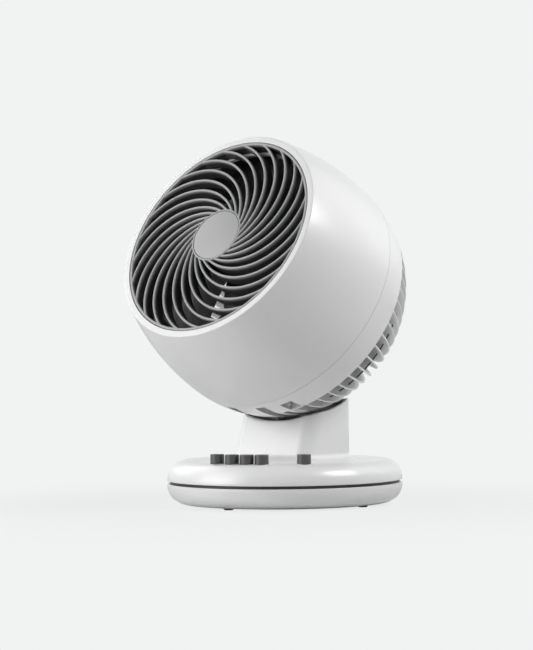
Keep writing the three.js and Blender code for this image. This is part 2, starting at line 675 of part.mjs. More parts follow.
function neckShell() {
  const column = neckColumn();
  const hollow = lofted([neckSection(BASE_TOP, -WALL), neckSection(NECK_ABOVE + 5, -WALL)]);
  const foot = disc(TURNTABLE_RADIUS, TURNTABLE_LOW, BASE_TOP, FINE);
  const tube = disc(HUB_TUBE_RADIUS, TURNTABLE_LOW - HUB_TUBE_LENGTH, BASE_TOP, COARSE);
  const bore = disc(HUB_TUBE_BORE, TURNTABLE_LOW - HUB_TUBE_LENGTH - 1, BASE_TOP + 1, COARSE);
  let body = column.subtract(hollow).add(foot).add(tube).subtract(bore).subtract(ball(SADDLE_RADIUS));
  for (const x of [-YOKE_SCREW_OFFSET, YOKE_SCREW_OFFSET]) {
    body = body.subtract(discAt(x, YOKE_FOOT_MIDDLE, SCREW_HOLE, TURNTABLE_LOW - 1, BASE_TOP + 1));
  }
  return body;
}

function saddleCover() {
  const inside = lofted([neckSection(BASE_TOP, -WALL - GAP), neckSection(NECK_ABOVE, -WALL - GAP)]);
  const high = ball(SADDLE_RADIUS + SADDLE_COVER_DROP);
  const low = ball(SADDLE_RADIUS + SADDLE_COVER_DROP + SADDLE_COVER);
  let body = inside.intersect(low).subtract(high);
  for (const side of [-1, 1]) {
    const middle = side * YOKE_ARM_AT;
    const half = YOKE_ARM_WIDTH / 2 + GAP;
    const away = SADDLE_RADIUS * Math.sin(rad(YOKE_LEAN)) - HEAD_REACH;
    const reach = YOKE_ARM_DEPTH / 2 + RUN_GAP;
    body = body.subtract(box(middle - half, middle + half, away - reach, away + reach, BASE_TOP, NECK_ABOVE));
  }
  return body;
}

// ---------------------------------------------------------------- tilt yoke
const YOKE_ARM_AT = (ARM_SLOT_INNER + ARM_SLOT_OUTER) / 2;
const YOKE_DROP = HEAD_HEIGHT - BASE_TOP - GAP;
const YOKE_FOOT_MIDDLE = YOKE_DROP * Math.tan(rad(YOKE_LEAN)) - HEAD_REACH;

function crosswise(radius, x0, x1, y, z, facets) {
  const geometry = new THREE.CylinderGeometry(radius, radius, x1 - x0, facets).rotateZ(Math.PI / 2);
  return solid(moved(geometry, (x0 + x1) / 2, y, z));
}

function tiltYoke() {
  const low = BASE_TOP + GAP;
  const half = YOKE_FOOT_DEPTH / 2;
  const wide = YOKE_FOOT_HALF_WIDTH;
  let body = box(-wide, wide, YOKE_FOOT_MIDDLE - half, YOKE_FOOT_MIDDLE + half, low, low + YOKE_FOOT);
  const tangent = Math.tan(rad(YOKE_LEAN));
  const thick = YOKE_ARM_DEPTH / 2 / Math.cos(rad(YOKE_LEAN));
  const at = (z) => (HEAD_HEIGHT - z) * tangent - HEAD_REACH;
  const outline = [
    P(at(low) - thick, low), P(at(low) + thick, low),
    P(at(HEAD_HEIGHT) + thick, HEAD_HEIGHT), P(at(HEAD_HEIGHT) - thick, HEAD_HEIGHT),
  ];
  for (const side of [-1, 1]) {
    const x0 = side * YOKE_ARM_AT - YOKE_ARM_WIDTH / 2;
    const x1 = x0 + YOKE_ARM_WIDTH;
    body = body.add(sideways(outline, x0, x1));
    body = body.add(crosswise(YOKE_EYE_RADIUS, x0, x1, -HEAD_REACH, HEAD_HEIGHT, COARSE));
    body = body.subtract(crosswise(AXLE_RADIUS + GAP, x0 - 1, x1 + 1, -HEAD_REACH, HEAD_HEIGHT, COARSE));
    const hole = discAt(side * YOKE_SCREW_OFFSET, YOKE_FOOT_MIDDLE, SCREW_HOLE, low - 1, low + YOKE_FOOT + 1);
    body = body.subtract(hole);
  }
  return body;
}

function addNeck(swinging) {
  swinging.add(piece('neck_shell', neckShell(), WHITE));
  swinging.add(piece('neck_saddle_cover', saddleCover(), DARK));
  swinging.add(piece('tilt_yoke', tiltYoke(), STEEL));
  [-1, 1].forEach((side, i) => {
    const high = BASE_TOP + GAP + YOKE_FOOT + GAP + SCREW_HEAD;
    const screw = screwDown(high, YOKE_FOOT + 2).translate([side * YOKE_SCREW_OFFSET, YOKE_FOOT_MIDDLE, 0]);
    swinging.add(piece(`yoke_screw_${i + 1}`, screw, STEEL));
  });
}

// ---------------------------------------------------------------- head, in the ball's own frame
// The origin is the ball's centre, X is the tilt axis and +Y points to the rear.
const behind = (s) => s - GRILLE_AHEAD;
const LIP_RADIUS = frontRadius(0);
const OPENING_RADIUS = LIP_RADIUS - LIP_WIDTH;
const LEDGE_RADIUS = OPENING_RADIUS - LEDGE_WIDTH;
const DUCT_RADIUS = LEDGE_RADIUS + DUCT_BESIDE_LEDGE;
const BLADE_TIP = DUCT_RADIUS - BLADE_CLEARANCE;
const BOSS_LENGTH = 18;
const WEB_HALF_WIDTH = 2;
const SPIGOT_AHEAD = 8;        // the rear shell's spigot reaches this far into the front shell
const SPIGOT_BEHIND = 6;
const FLANGE_THICKNESS_ANGLE = 2;      // degrees, the rings that the vanes start and end in

// Outer radius of the front shell at a distance s behind the grille's plane.
function frontRadius(s) {
  return BALL_RADIUS - FRONT_ARC_RADIUS + Math.sqrt(FRONT_ARC_RADIUS ** 2 - (s - GRILLE_AHEAD) ** 2);
}

const onBall = (radius, degrees) => P(radius * Math.cos(rad(degrees)), radius * Math.sin(rad(degrees)));

function ballArc(radius, from, to, count) {
  return steps(count, (t) => onBall(radius, from + (to - from) * t));
}

function frontShell() {
  const seam = GRILLE_AHEAD + SEAM_BEHIND - GAP / 2;
  const ledgeBack = LEDGE_DEPTH + LEDGE_THICKNESS;
  const wide = GRILLE_AHEAD;
  const outerFront = steps(7, (t) => {
    const s = LIP_ROUND + (wide - LIP_ROUND) * t;
    return P(frontRadius(s), behind(s));
  });
  const innerFront = steps(4, (t) => {
    const s = ledgeBack + (wide - ledgeBack) * t;
    return P(frontRadius(s) - WALL, behind(s));
  });
  const back = Math.asin((seam - wide) / BALL_RADIUS) * 180 / Math.PI;
  const profile = [
    P(OPENING_RADIUS, behind(0.6)), P(OPENING_RADIUS + 0.8, behind(0)),
    P(LIP_RADIUS - LIP_ROUND, behind(0)), ...outerFront, onBall(BALL_RADIUS, back),
    P(onBall(BALL_RADIUS, back).x - WALL, behind(seam)), ...innerFront.reverse(),
    P(LEDGE_RADIUS, behind(ledgeBack)), P(LEDGE_RADIUS, behind(LEDGE_DEPTH)),
    P(OPENING_RADIUS, behind(LEDGE_DEPTH)),
  ];
  let body = along(profile, FINE);
  const bossBack = BRACKET_FRONT - GAP;
  const bossFront = bossBack - BOSS_LENGTH;
  for (const angle of EAR_ANGLES) {
    const web = box(-WEB_HALF_WIDTH, WEB_HALF_WIDTH, behind(bossFront), behind(bossBack),
      BRACKET_EAR_CIRCLE, BALL_RADIUS - WALL / 2);
    const trimmed = web.intersect(along([
      P(0, behind(bossFront)), ...steps(5, (t) => {
        const s = bossFront + (bossBack - bossFront) * t;
        return P(frontRadius(s) - WALL / 2, behind(s));
      }), P(0, behind(bossBack)),
    ], FINE));
    const boss = along(rectangle(0, EAR_RADIUS, behind(bossFront), behind(bossBack)), SMALL);
    const hole = along(rectangle(0, SCREW_HOLE, behind(bossFront) + 4, behind(bossBack) + 1), SMALL);
    const placed = boss.translate([0, 0, BRACKET_EAR_CIRCLE]).add(trimmed)
      .subtract(hole.translate([0, 0, BRACKET_EAR_CIRCLE]));
    body = body.add(placed.rotate([0, angle, 0]));
  }
  return body;
}

// A slice of the lower rear of the ball, between two angles behind the widest plane.
function slice(x0, x1, from, to, inner, outer) {
  const at = (radius, degrees) => P(radius * Math.sin(rad(degrees)), -radius * Math.cos(rad(degrees)));
  const count = 6;
  const arc = (radius) => steps(count, (t) => at(radius, from + (to - from) * t));
  return sideways([...arc(outer), ...arc(inner).reverse()], x0, x1);
}

const vaneAngle = (index) => VANE_PHASE + index * 360 / VANE_COUNT;

function vane(index) {
  const inner = BALL_RADIUS - VANE_DEPTH;
  const outer = BALL_RADIUS - VANE_SET_IN;
  const outline = [
    ...ballArc(outer, VANE_START - 1, REAR_CAP_FROM + 1, 4),
    ...ballArc(inner, VANE_START - 1, REAR_CAP_FROM + 1, VANE_INNER_POINTS).reverse(),
  ];
  const half = VANE_THICKNESS / 2;
  const upper = outline.map((p) => P(p.y, p.x));
  return sideways(upper, -half, half).rotate([0, vaneAngle(index), 0]);
}

function rearShell() {
  const seam = SEAM_BEHIND + GAP / 2;
  const from = Math.asin(seam / BALL_RADIUS) * 180 / Math.PI;
  const inside = BALL_RADIUS - WALL;
  const spigot = (frontRadius(GRILLE_AHEAD) - WALL) * FACET_INSET - GAP;
  const deepest = BALL_RADIUS - VANE_DEPTH - VANE_THICKNESS / 2;
  const flangeFront = VANE_START - FLANGE_THICKNESS_ANGLE;
  const flangeBack = REAR_CAP_FROM + FLANGE_THICKNESS_ANGLE;
  const band = along([
    ...ballArc(BALL_RADIUS, from, VANE_START, 3), onBall(deepest, VANE_START), onBall(deepest, flangeFront),
    onBall(inside, flangeFront), onBall(inside, from + 3), P(spigot - WALL, seam + SPIGOT_BEHIND),
    P(spigot - WALL, seam - SPIGOT_AHEAD), P(spigot, seam - SPIGOT_AHEAD), P(spigot, seam),
  ], VANE_COUNT);
  const cap = along([
    ...ballArc(BALL_RADIUS, REAR_CAP_FROM, 84, 4), P(0, BALL_RADIUS), P(0, inside),
    onBall(inside, flangeBack), onBall(deepest, flangeBack), onBall(deepest, REAR_CAP_FROM),
  ], VANE_COUNT);
  const vanes = [];
  for (let i = 0; i < VANE_COUNT; i += 1) {
    const x = Math.sin(rad(vaneAngle(i))) * BALL_RADIUS * Math.cos(rad(VANE_START));
    const low = Math.cos(rad(vaneAngle(i))) < 0;
    if (!low || Math.abs(x) > KEEL_HALF_WIDTH) vanes.push(vane(i));
  }
  const skin = along([
    ...ballArc(BALL_RADIUS - VANE_SET_IN, VANE_START - 1, REAR_CAP_FROM + 1, 5),
    ...ballArc(inside - VANE_SET_IN, VANE_START - 1, REAR_CAP_FROM + 1, 4).reverse(),
  ], VANE_COUNT);
  const below = box(-KEEL_HALF_WIDTH, KEEL_HALF_WIDTH, 0, 2 * BALL_RADIUS, -2 * BALL_RADIUS, 0);
  let body = band.add(cap).add(skin.intersect(below));
  body = body.add(wasm.Manifold.union(vanes));
  const deep = deepest - VANE_DEPTH / 2;
  const past = BALL_RADIUS + VANE_DEPTH / 2;
  for (const side of [-1, 1]) {
    const cut = (near, far, start, end) => {
      const x0 = Math.min(side * near, side * far);
      const x1 = Math.max(side * near, side * far);
      body = body.subtract(slice(x0, x1, start, end, deep, past));
    };
    cut(ARM_SLOT_INNER, ARM_SLOT_OUTER, ARM_SLOT_FROM, ARM_SLOT_TO);
    cut(ARM_SLOT_OUTER + KEEL_EDGE, KEEL_HALF_WIDTH - KEEL_EDGE, VANE_START, REAR_CAP_FROM - KEEL_GAP_SHORT);
    const sideGap = KEEL_HALF_WIDTH + SIDE_GAP_BESIDE;
    cut(sideGap, sideGap + SIDE_GAP_WIDTH, SIDE_GAP_FROM, VANE_START);
  }
  return body;
}

// A hoop that lies inside the vanes and is open below, where the yoke's arms pass.
function vaneHoop() {
  const chord = (REAR_CAP_FROM + 2 - VANE_START) / (VANE_INNER_POINTS - 1);
  const outer = (BALL_RADIUS - VANE_DEPTH) * Math.cos(rad(chord / 2)) - GAP;
  const half = HOOP_WIDTH / 2 / outer * 180 / Math.PI;
  const hoop = along([
    onBall(outer - HOOP_DEPTH, HOOP_AT - half), onBall(outer, HOOP_AT - half),
    onBall(outer, HOOP_AT + half), onBall(outer - HOOP_DEPTH, HOOP_AT + half),
  ], VANE_COUNT);
  return hoop.subtract(box(-KEEL_HALF_WIDTH, KEEL_HALF_WIDTH, 0, BALL_RADIUS, -BALL_RADIUS, 0));
}

// ---------------------------------------------------------------- grille
const GRILLE_RADIUS = OPENING_RADIUS * FACET_INSET - GAP;
const GRILLE_INSIDE = GRILLE_RADIUS - GRILLE_RING_WIDTH;
const GRILLE_BACK = LEDGE_DEPTH - GAP;

function grilleFront(radius) {
  return -GRILLE_DOME * (1 - (radius / GRILLE_RADIUS) ** 2);
}

// Point on a rib's centre line, seen from the front with X right and Z up.
function ribPoint(radius) {
  const distance = Math.hypot(RIB_CENTRE_X, RIB_CENTRE_Z);
  const cosine = (radius ** 2 + distance ** 2 - RIB_ARC_RADIUS ** 2) / (2 * radius * distance);
  const toCentre = Math.atan2(RIB_CENTRE_Z, RIB_CENTRE_X);
  const angle = toCentre - Math.acos(THREE.MathUtils.clamp(cosine, -1, 1));
  return P(radius * Math.cos(angle), radius * Math.sin(angle));
}

function rib(index) {
  const count = 5;
  const inner = GRILLE_HUB_RADIUS - 0.8;
  const outer = GRILLE_INSIDE + 1.5;
  const rings = steps(count, (t) => {
    const radius = inner + (outer - inner) * t;
    const here = ribPoint(radius);
    const ahead = ribPoint(radius + 0.5);
    const back = ribPoint(radius - 0.5);
    const direction = ahead.clone().sub(back).normalize();
    const across = P(-direction.y, direction.x).multiplyScalar(RIB_THICKNESS / 2);
    const front = behind(grilleFront(radius) + RIB_SET_IN);
    const rear = behind(RIB_DEPTH - GAP);
    return [
      new THREE.Vector3(here.x + across.x, front, here.y + across.y),
      new THREE.Vector3(here.x - across.x, front, here.y - across.y),
      new THREE.Vector3(here.x - across.x, rear, here.y - across.y),
      new THREE.Vector3(here.x + across.x, rear, here.y + across.y),
    ];
  });
  return lofted(rings).rotate([0, RIB_PHASE + index * 360 / RIB_COUNT, 0]);
}

function frontGrille() {
  const outerRing = along([
    P(GRILLE_INSIDE, behind(0)), P(GRILLE_RADIUS, behind(0)),
    P(GRILLE_RADIUS, behind(GRILLE_BACK)), P(GRILLE_INSIDE, behind(GRILLE_BACK)),
  ], 2 * RIB_COUNT);
  const hubFront = grilleFront(GRILLE_HUB_RADIUS);
  const seat = hubFront + HUB_CAP_THICKNESS + GAP;
  const hub = along([
    P(0, behind(seat)), P(HUB_CAP_RADIUS + GAP, behind(seat)), P(HUB_CAP_RADIUS + GAP, behind(hubFront)),
    P(GRILLE_HUB_RADIUS, behind(hubFront)), P(GRILLE_HUB_RADIUS, behind(RIB_DEPTH)),
    P(GRILLE_HUB_RADIUS - 2, behind(RIB_DEPTH)), P(GRILLE_HUB_RADIUS - 2, behind(seat + 2.5)),
    P(0, behind(seat + 2.5)),
  ], RIB_COUNT);
  const ribs = steps(RIB_COUNT, (_, i) => rib(i));
  return outerRing.add(hub).add(wasm.Manifold.union(ribs));
}

function hubCap() {
  const front = grilleFront(GRILLE_HUB_RADIUS);
  return along([
    P(0, behind(front + HUB_CAP_THICKNESS)), P(HUB_CAP_RADIUS, behind(front + HUB_CAP_THICKNESS)),
    P(HUB_CAP_RADIUS, behind(front + 0.3)), P(HUB_CAP_RADIUS - 0.5, behind(front)),
    P(HUB_CAP_RADIUS * 0.6, behind(front - 0.5)), P(0, behind(front - 0.8)),
  ], RIB_COUNT);
}

function airDuct() {
  const low = LEDGE_DEPTH + LEDGE_THICKNESS + GAP;
  return along([
    P(DUCT_RADIUS, behind(low)), P(DUCT_RADIUS + DUCT_FLANGE, behind(low)),
    P(DUCT_RADIUS + DUCT_FLANGE, behind(low + DUCT_WALL)),
    P(DUCT_RADIUS + DUCT_WALL, behind(low + DUCT_WALL)),
    P(DUCT_RADIUS + DUCT_WALL, behind(low + DUCT_LENGTH)), P(DUCT_RADIUS, behind(low + DUCT_LENGTH)),
  ], MEDIUM);
}

// ---------------------------------------------------------------- fan and motor
function blade(index) {
  const radial = 5;
  const chordwise = 4;
  const middle = behind(FAN_HUB_FRONT + FAN_HUB_DEPTH / 2);
  const surface = (offset) => steps(radial, (t) => steps(chordwise, (u) => {
    const radius = FAN_HUB_RADIUS - 2 + (BLADE_TIP - FAN_HUB_RADIUS + 2) * t;
    const pitch = rad(BLADE_ROOT_ANGLE + (BLADE_TIP_ANGLE - BLADE_ROOT_ANGLE) * t);
    const spread = rad(BLADE_SPAN_ANGLE) * (u - 0.5 + BLADE_SWEEP * t * t);
    const depth = Math.tan(pitch) * radius * rad(BLADE_SPAN_ANGLE) * (u - 0.5) * BLADE_FLAT;
    const camber = BLADE_CAMBER * Math.sin(Math.PI * u);
    const rearward = middle + depth - camber + offset;
    return new THREE.Vector3(radius * Math.cos(spread), rearward, radius * Math.sin(spread));
  }));
  const rings = surface(BLADE_THICKNESS / 2).map((row, i) => {
    const other = surface(-BLADE_THICKNESS / 2)[i];
    return [...row, ...other.reverse()];
  });
  return lofted(rings).rotate([0, index * 360 / BLADE_COUNT - BLADE_PHASE, 0]);
}

function impeller() {
  const front = FAN_HUB_FRONT;
  const back = FAN_HUB_FRONT + FAN_HUB_DEPTH;
  const hub = along([
    P(0, behind(front)), P(FAN_HUB_RADIUS - FAN_HUB_CHAMFER, behind(front)),
    P(FAN_HUB_RADIUS, behind(front + FAN_HUB_CHAMFER)), P(FAN_HUB_RADIUS, behind(back)),
    P(FAN_HUB_RADIUS - FAN_HUB_WALL, behind(back)),
    P(FAN_HUB_RADIUS - FAN_HUB_WALL, behind(front + FAN_HUB_WALL)),
    P(FAN_BOSS_RADIUS, behind(front + FAN_HUB_WALL)), P(FAN_BOSS_RADIUS, behind(back)), P(0, behind(back)),
  ], MEDIUM);
  const blades = steps(BLADE_COUNT, (_, i) => blade(i));
  const bore = along(rectangle(0, SHAFT_RADIUS + GAP, behind(front - 1), behind(back + 1)), COARSE);
  return hub.add(wasm.Manifold.union(blades)).subtract(bore);
}

function hexagon(radius) {
  return steps(6, (_, i) => P(radius * Math.cos(rad(60 * i)), radius * Math.sin(rad(60 * i))));
}

function spinnerNut() {
  const back = FAN_HUB_FRONT - GAP;
  const front = back - NUT_THICKNESS;
  const hexagonal = raised(hexagon(NUT_RADIUS), 0, NUT_THICKNESS).rotate([-90, 0, 0]);
  const body = hexagonal.translate([0, behind(front), 0]);
  return body.subtract(along(rectangle(0, SHAFT_RADIUS + GAP, behind(front - 1), behind(back + 1)), COARSE));
}

function motorShaft() {
  const front = FAN_HUB_FRONT - NUT_THICKNESS - 2;
  return along(rectangle(0, SHAFT_RADIUS, behind(front), behind(MOTOR_FRONT + MOTOR_SHAFT_SEAT)), COARSE);
}

function motorBody() {
  const nose = MOTOR_FRONT - MOTOR_NOSE;
  const back = MOTOR_FRONT + MOTOR_LENGTH;
  let body = along([
    P(0, behind(nose)), P(MOTOR_NOSE_RADIUS, behind(nose)), P(MOTOR_NOSE_RADIUS, behind(MOTOR_FRONT)),
    P(MOTOR_RADIUS - 2, behind(MOTOR_FRONT)), P(MOTOR_RADIUS, behind(MOTOR_FRONT + 2)),
    P(MOTOR_RADIUS, behind(back)), P(0, behind(back)),
  ], MEDIUM);
  const boreBack = behind(MOTOR_FRONT + MOTOR_SHAFT_SEAT + GAP);
  const bore = rectangle(0, SHAFT_RADIUS + GAP, behind(nose - 1), boreBack);
  body = body.subtract(along(bore, COARSE));
  for (const side of [-1, 1]) {
    const hole = along(rectangle(0, SCREW_HOLE, behind(back - 8), behind(back + 1)), SMALL);
    body = body.subtract(hole.translate([0, 0, side * MOTOR_SCREW_CIRCLE]));
  }
  return body;
}

const BRACKET_FRONT = MOTOR_FRONT + MOTOR_LENGTH + GAP;
const BRACKET_BACK = BRACKET_FRONT + BRACKET_THICKNESS;
const EAR_ANGLES = [45, 135, 225, 315];

function motorBracket() {
  const round = (radius, front, back, facets) => {
    return along(rectangle(0, radius, behind(front), behind(back)), facets);
  };
  let body = round(BRACKET_PLATE_RADIUS, BRACKET_FRONT, BRACKET_BACK, MEDIUM);
  for (const angle of EAR_ANGLES) {
    const half = BRACKET_ARM_WIDTH / 2;
    const arm = box(-half, half, behind(BRACKET_FRONT), behind(BRACKET_FRONT + BRACKET_ARM_DEPTH),
      BRACKET_PLATE_RADIUS - 4, BRACKET_EAR_CIRCLE);
    const ear = round(EAR_RADIUS, BRACKET_FRONT, BRACKET_FRONT + BRACKET_ARM_DEPTH, SMALL);
    const hole = round(SCREW_HOLE, BRACKET_FRONT - 1, BRACKET_FRONT + BRACKET_ARM_DEPTH + 1, SMALL);
    const placed = arm.add(ear.translate([0, 0, BRACKET_EAR_CIRCLE]))
      .subtract(hole.translate([0, 0, BRACKET_EAR_CIRCLE]));
    body = body.add(placed.rotate([0, angle, 0]));
  }
  for (const side of [-1, 1]) {
    const x0 = Math.min(side * CHEEK_INNER, side * (CHEEK_INNER + CHEEK_THICKNESS));
    const x1 = x0 + CHEEK_THICKNESS;
    body = body.add(box(x0, x1, behind(BRACKET_FRONT), 0, -CHEEK_HALF_HEIGHT, CHEEK_HALF_HEIGHT));
    body = body.add(crosswise(CHEEK_HALF_HEIGHT, x0, x1, 0, 0, COARSE));
    body = body.subtract(crosswise(AXLE_RADIUS + GAP, x0 - 1, x1 + 1, 0, 0, COARSE));
    const hole = round(SCREW_HOLE, BRACKET_FRONT - 1, BRACKET_BACK + 1, SMALL);
    body = body.subtract(hole.translate([0, 0, side * MOTOR_SCREW_CIRCLE]));
  }
  return body;
}

function axleAlongX(parts) {
  return join(parts.map(([radius, x0, x1]) => crosswise(radius, x0, x1, 0, 0, COARSE)));
}

// A screw along Y from the rear whose head's front face is at s.
function rearScrew(s, length) {
  return along([
    P(0, behind(s - length - 1)), P(SCREW_RADIUS, behind(s - length)), P(SCREW_RADIUS, behind(s)),
    P(SCREW_HEAD_RADIUS, behind(s)), P(SCREW_HEAD_RADIUS, behind(s + SCREW_HEAD * 0.8)),
    P(0, behind(s + SCREW_HEAD * 0.8)),
  ], SMALL);
}

function addHead(head) {
  head.add(piece('front_shell', frontShell(), WHITE));
  head.add(piece('rear_shell', rearShell(), WHITE));
  head.add(piece('vane_hoop', vaneHoop(), WHITE));
  head.add(piece('front_grille', frontGrille(), SILVER));
  head.add(piece('hub_cap', hubCap(), SILVER));
  head.add(piece('air_duct', airDuct(), BLACK));
  head.add(piece('motor_bracket', motorBracket(), DARK));
  head.add(piece('motor_body', motorBody(), STEEL));
  head.add(piece('motor_shaft', motorShaft(), STEEL));
  head.add(piece('impeller', impeller(), BLACK));
  head.add(piece('spinner_nut', spinnerNut(), BLACK));
  const cheekOut = CHEEK_INNER + CHEEK_THICKNESS + GAP;
  const axle = axleAlongX([
    [AXLE_HEAD_RADIUS, -cheekOut - AXLE_HEAD, -cheekOut],
    [AXLE_RADIUS, -cheekOut - 1, cheekOut + AXLE_HEAD + 1],
  ]);
  head.add(piece('tilt_axle', axle, STEEL));
  const nut = solid(new THREE.CylinderGeometry(AXLE_HEAD_RADIUS, AXLE_HEAD_RADIUS, AXLE_HEAD, 6)
    .rotateZ(Math.PI / 2).translate(cheekOut + AXLE_HEAD / 2, 0, 0));
  const nutBore = crosswise(AXLE_RADIUS + GAP, cheekOut - 1, cheekOut + AXLE_HEAD + 1, 0, 0, COARSE);
  head.add(piece('tilt_nut', nut.subtract(nutBore), STEEL));
  [-1, 1].forEach((side, i) => {
    const near = YOKE_ARM_AT + YOKE_ARM_WIDTH / 2 + GAP;
    const far = CHEEK_INNER - GAP;
    const [x0, x1] = side < 0 ? [-far, -near] : [near, far];
    const washer = crosswise(YOKE_EYE_RADIUS - 1, x0, x1, 0, 0, COARSE)
      .subtract(crosswise(AXLE_RADIUS + GAP, x0 - 1, x1 + 1, 0, 0, COARSE));
    head.add(piece(`tilt_washer_${i + 1}`, washer, NYLON));
    const screw = rearScrew(BRACKET_BACK + GAP, BRACKET_THICKNESS + MOTOR_SCREW_BITE)
      .translate([0, 0, side * MOTOR_SCREW_CIRCLE]);
    head.add(piece(`motor_screw_${i + 1}`, screw, STEEL));
  });
  EAR_ANGLES.forEach((angle, i) => {
    const screw = rearScrew(BRACKET_FRONT + BRACKET_ARM_DEPTH + GAP, BRACKET_ARM_DEPTH + EAR_SCREW_BITE)
      .translate([0, 0, BRACKET_EAR_CIRCLE]).rotate([0, angle, 0]);
    head.add(piece(`bracket_screw_${i + 1}`, screw, STEEL));
  });
}

// ---------------------------------------------------------------- assembly
function fan() {
  const base = new THREE.Group();
  const swinging = new THREE.Group();
  const head = new THREE.Group();
  addBase(base);
  addSwingDrive(base, swinging);
  addNeck(swinging);
  addHead(head);
  head.position.set(0, -HEAD_REACH, HEAD_HEIGHT);
  head.rotation.x = -rad(TILT_REST);
  swinging.add(head);
  swinging.rotation.z = rad(SWING_REST);
  base.add(swinging);
  return base;
}

export default fan();
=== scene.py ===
"""Looks of the air circulator fan: smooth shells, vanes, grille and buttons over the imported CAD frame."""
import json
import math

import bmesh
import bpy
from mathutils import Matrix, Vector

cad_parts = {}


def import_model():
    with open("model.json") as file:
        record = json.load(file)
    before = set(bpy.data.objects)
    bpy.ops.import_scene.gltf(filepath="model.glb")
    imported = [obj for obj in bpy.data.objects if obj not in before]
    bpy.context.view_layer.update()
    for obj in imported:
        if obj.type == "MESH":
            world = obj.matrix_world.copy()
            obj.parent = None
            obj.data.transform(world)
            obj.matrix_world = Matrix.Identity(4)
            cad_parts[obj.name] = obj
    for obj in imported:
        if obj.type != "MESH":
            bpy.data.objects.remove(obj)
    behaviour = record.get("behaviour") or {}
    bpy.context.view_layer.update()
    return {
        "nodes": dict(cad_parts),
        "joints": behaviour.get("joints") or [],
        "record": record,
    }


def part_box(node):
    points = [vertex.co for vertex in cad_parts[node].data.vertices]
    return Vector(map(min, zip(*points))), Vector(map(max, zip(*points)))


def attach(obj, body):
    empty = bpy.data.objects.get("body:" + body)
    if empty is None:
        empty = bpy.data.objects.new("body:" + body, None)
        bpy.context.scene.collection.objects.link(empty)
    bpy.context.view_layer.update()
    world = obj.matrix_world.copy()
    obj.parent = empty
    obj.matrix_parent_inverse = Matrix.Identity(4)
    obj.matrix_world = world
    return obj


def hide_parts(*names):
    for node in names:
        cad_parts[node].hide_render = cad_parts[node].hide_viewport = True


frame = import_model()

MM = 0.001                     # every size below is in millimetres

# ---- Fineness
ROUND = 180                    # segments round the shells
SMALL_ROUND = 48               # segments round buttons and feet
RECESS_ROUND = 32
ARC_STEPS = 6                  # steps in a rounded corner
EDGE_SOFTENING = 0.25          # bevel on the CAD nodes that stay

# ---- Base
BASE_RADIUS = 105
BASE_UNDERSIDE = 1.5
BASE_EDGE = 17                 # how far the rounded sides stand out from the flat faces
BASE_WIDEST = 18
GROOVE_LOW = 19.4
GROOVE_HIGH = 22
GROOVE_DEPTH = 2.8
# thickness and gaps of the black strip of painted shade in the groove
GROOVE_BAND = 0.25
GROOVE_BAND_GAP = 0.05
SPIGOT_TOP = 26
BASE_TOP = 40
TOP_ROUNDING = 2.3             # exponent of the shoulder's superellipse
WALL = 2.5
TURNTABLE_RADIUS = 66
TURNTABLE_THICKNESS = 3.7
TURNTABLE_GAP = 0.6
BUTTON_RADIUS = 6.1
BUTTON_STEM_RADIUS = 2.5
BUTTON_GAP = 0.3
BUTTON_SKIRT = 6               # how far the caps go down into their holes
BUTTON_HOLE_DEPTH = 10
FOOT_RADIUS = 5
SCREW_RECESS_RADIUS = 3.8
SCREW_RECESS_TOP = 8

# ---- Neck
NECK_HALF_WIDTH = 43.5
NECK_BACK = 47.5
NECK_FRONT_AT_TOP = -12
NECK_FRONT_AT_FOOT = -24
NECK_SLOPE_TOP = 83
NECK_CORNER = 14
NECK_FLARE = 6
NECK_RIM_ROUND = 2.2
NECK_RIM_INNER_ROUND = 0.3
SADDLE_CLEARANCE = 2.8

# ---- Ball head, with s the distance behind the grille's front plane
BALL_RADIUS = 116.5
GRILLE_AHEAD = 90.8
FRONT_ARC_RADIUS = 259
LIP_WIDTH = 5.66
LEDGE_WIDTH = 5.4
LEDGE_DEPTH = 12.4
LEDGE_THICKNESS = 2.8
SEAM_BEHIND = 5.6
SEAM_GAP = 0.3
SPIGOT_AHEAD = 8               # the rear shell's spigot inside the front shell
SPIGOT_BEHIND = 6
VANE_START = 16.8
VANE_COUNT = 60
VANE_PHASE = -1.3              # degrees
VANE_THICKNESS = 1.8
VANE_DEPTH = 16
VANE_SET_IN = 0.4
REAR_CAP_FROM = 65
KEEL_HALF_WIDTH = 33.5
ARM_SLOT_INNER = 11.3
ARM_SLOT_OUTER = 21.3
ARM_SLOT_FROM = 6.1
ARM_SLOT_TO = 104.8
SLOT_CUT_OUTSIDE = 6           # how far the slots' cutters pass the ball and the vanes
SLOT_CUT_INSIDE = 8
KEEL_GAP_MARGIN = 3
KEEL_GAP_SHORT = 6
CHEEK_DEPTH = 12               # walls beside the slots and gaps
CHEEK_THICKNESS = 1
HOOP_AT = 32
HOOP_OUTSIDE = 5               # below the ball's surface
HOOP_DEPTH = 1
HOOP_WIDTH = 1
SIDE_GAP_FROM = 8.2
SIDE_GAP_WIDTH = 11

# ---- Grille and fan
RIB_COUNT = 25
RIB_THICKNESS = 2.2
RIB_DEPTH = 12
RIB_LIGHT_TO = 1.3             # depth behind the front where the ribs' painted shade begins
RIB_DARK_FROM = 4.5
RIB_OVERLAP = 1.5              # how far the ribs run into the ring
RIB_HUB_OVERLAP = 0.8
RIB_CENTRE = (34.6, 24.5)
RIB_ARC_RADIUS = 60.2
RIB_PHASE = -2.4
GRILLE_RING_WIDTH = 2.4
GRILLE_DOME = 0.3
GRILLE_HUB_RADIUS = 25.6
HUB_CAP_RADIUS = 23.8
BLADE_COUNT = 5
BLADE_TIP = 86
BLADE_THICKNESS = 2.4
BLADE_ROOT_ANGLE = 48
BLADE_TIP_ANGLE = 24
BLADE_SPAN_ANGLE = 46
BLADE_PHASE = 12.7             # degrees above the tilt axis, the first blade at rest
BLADE_SWEEP = 0.28
BLADE_FLAT = 0.45
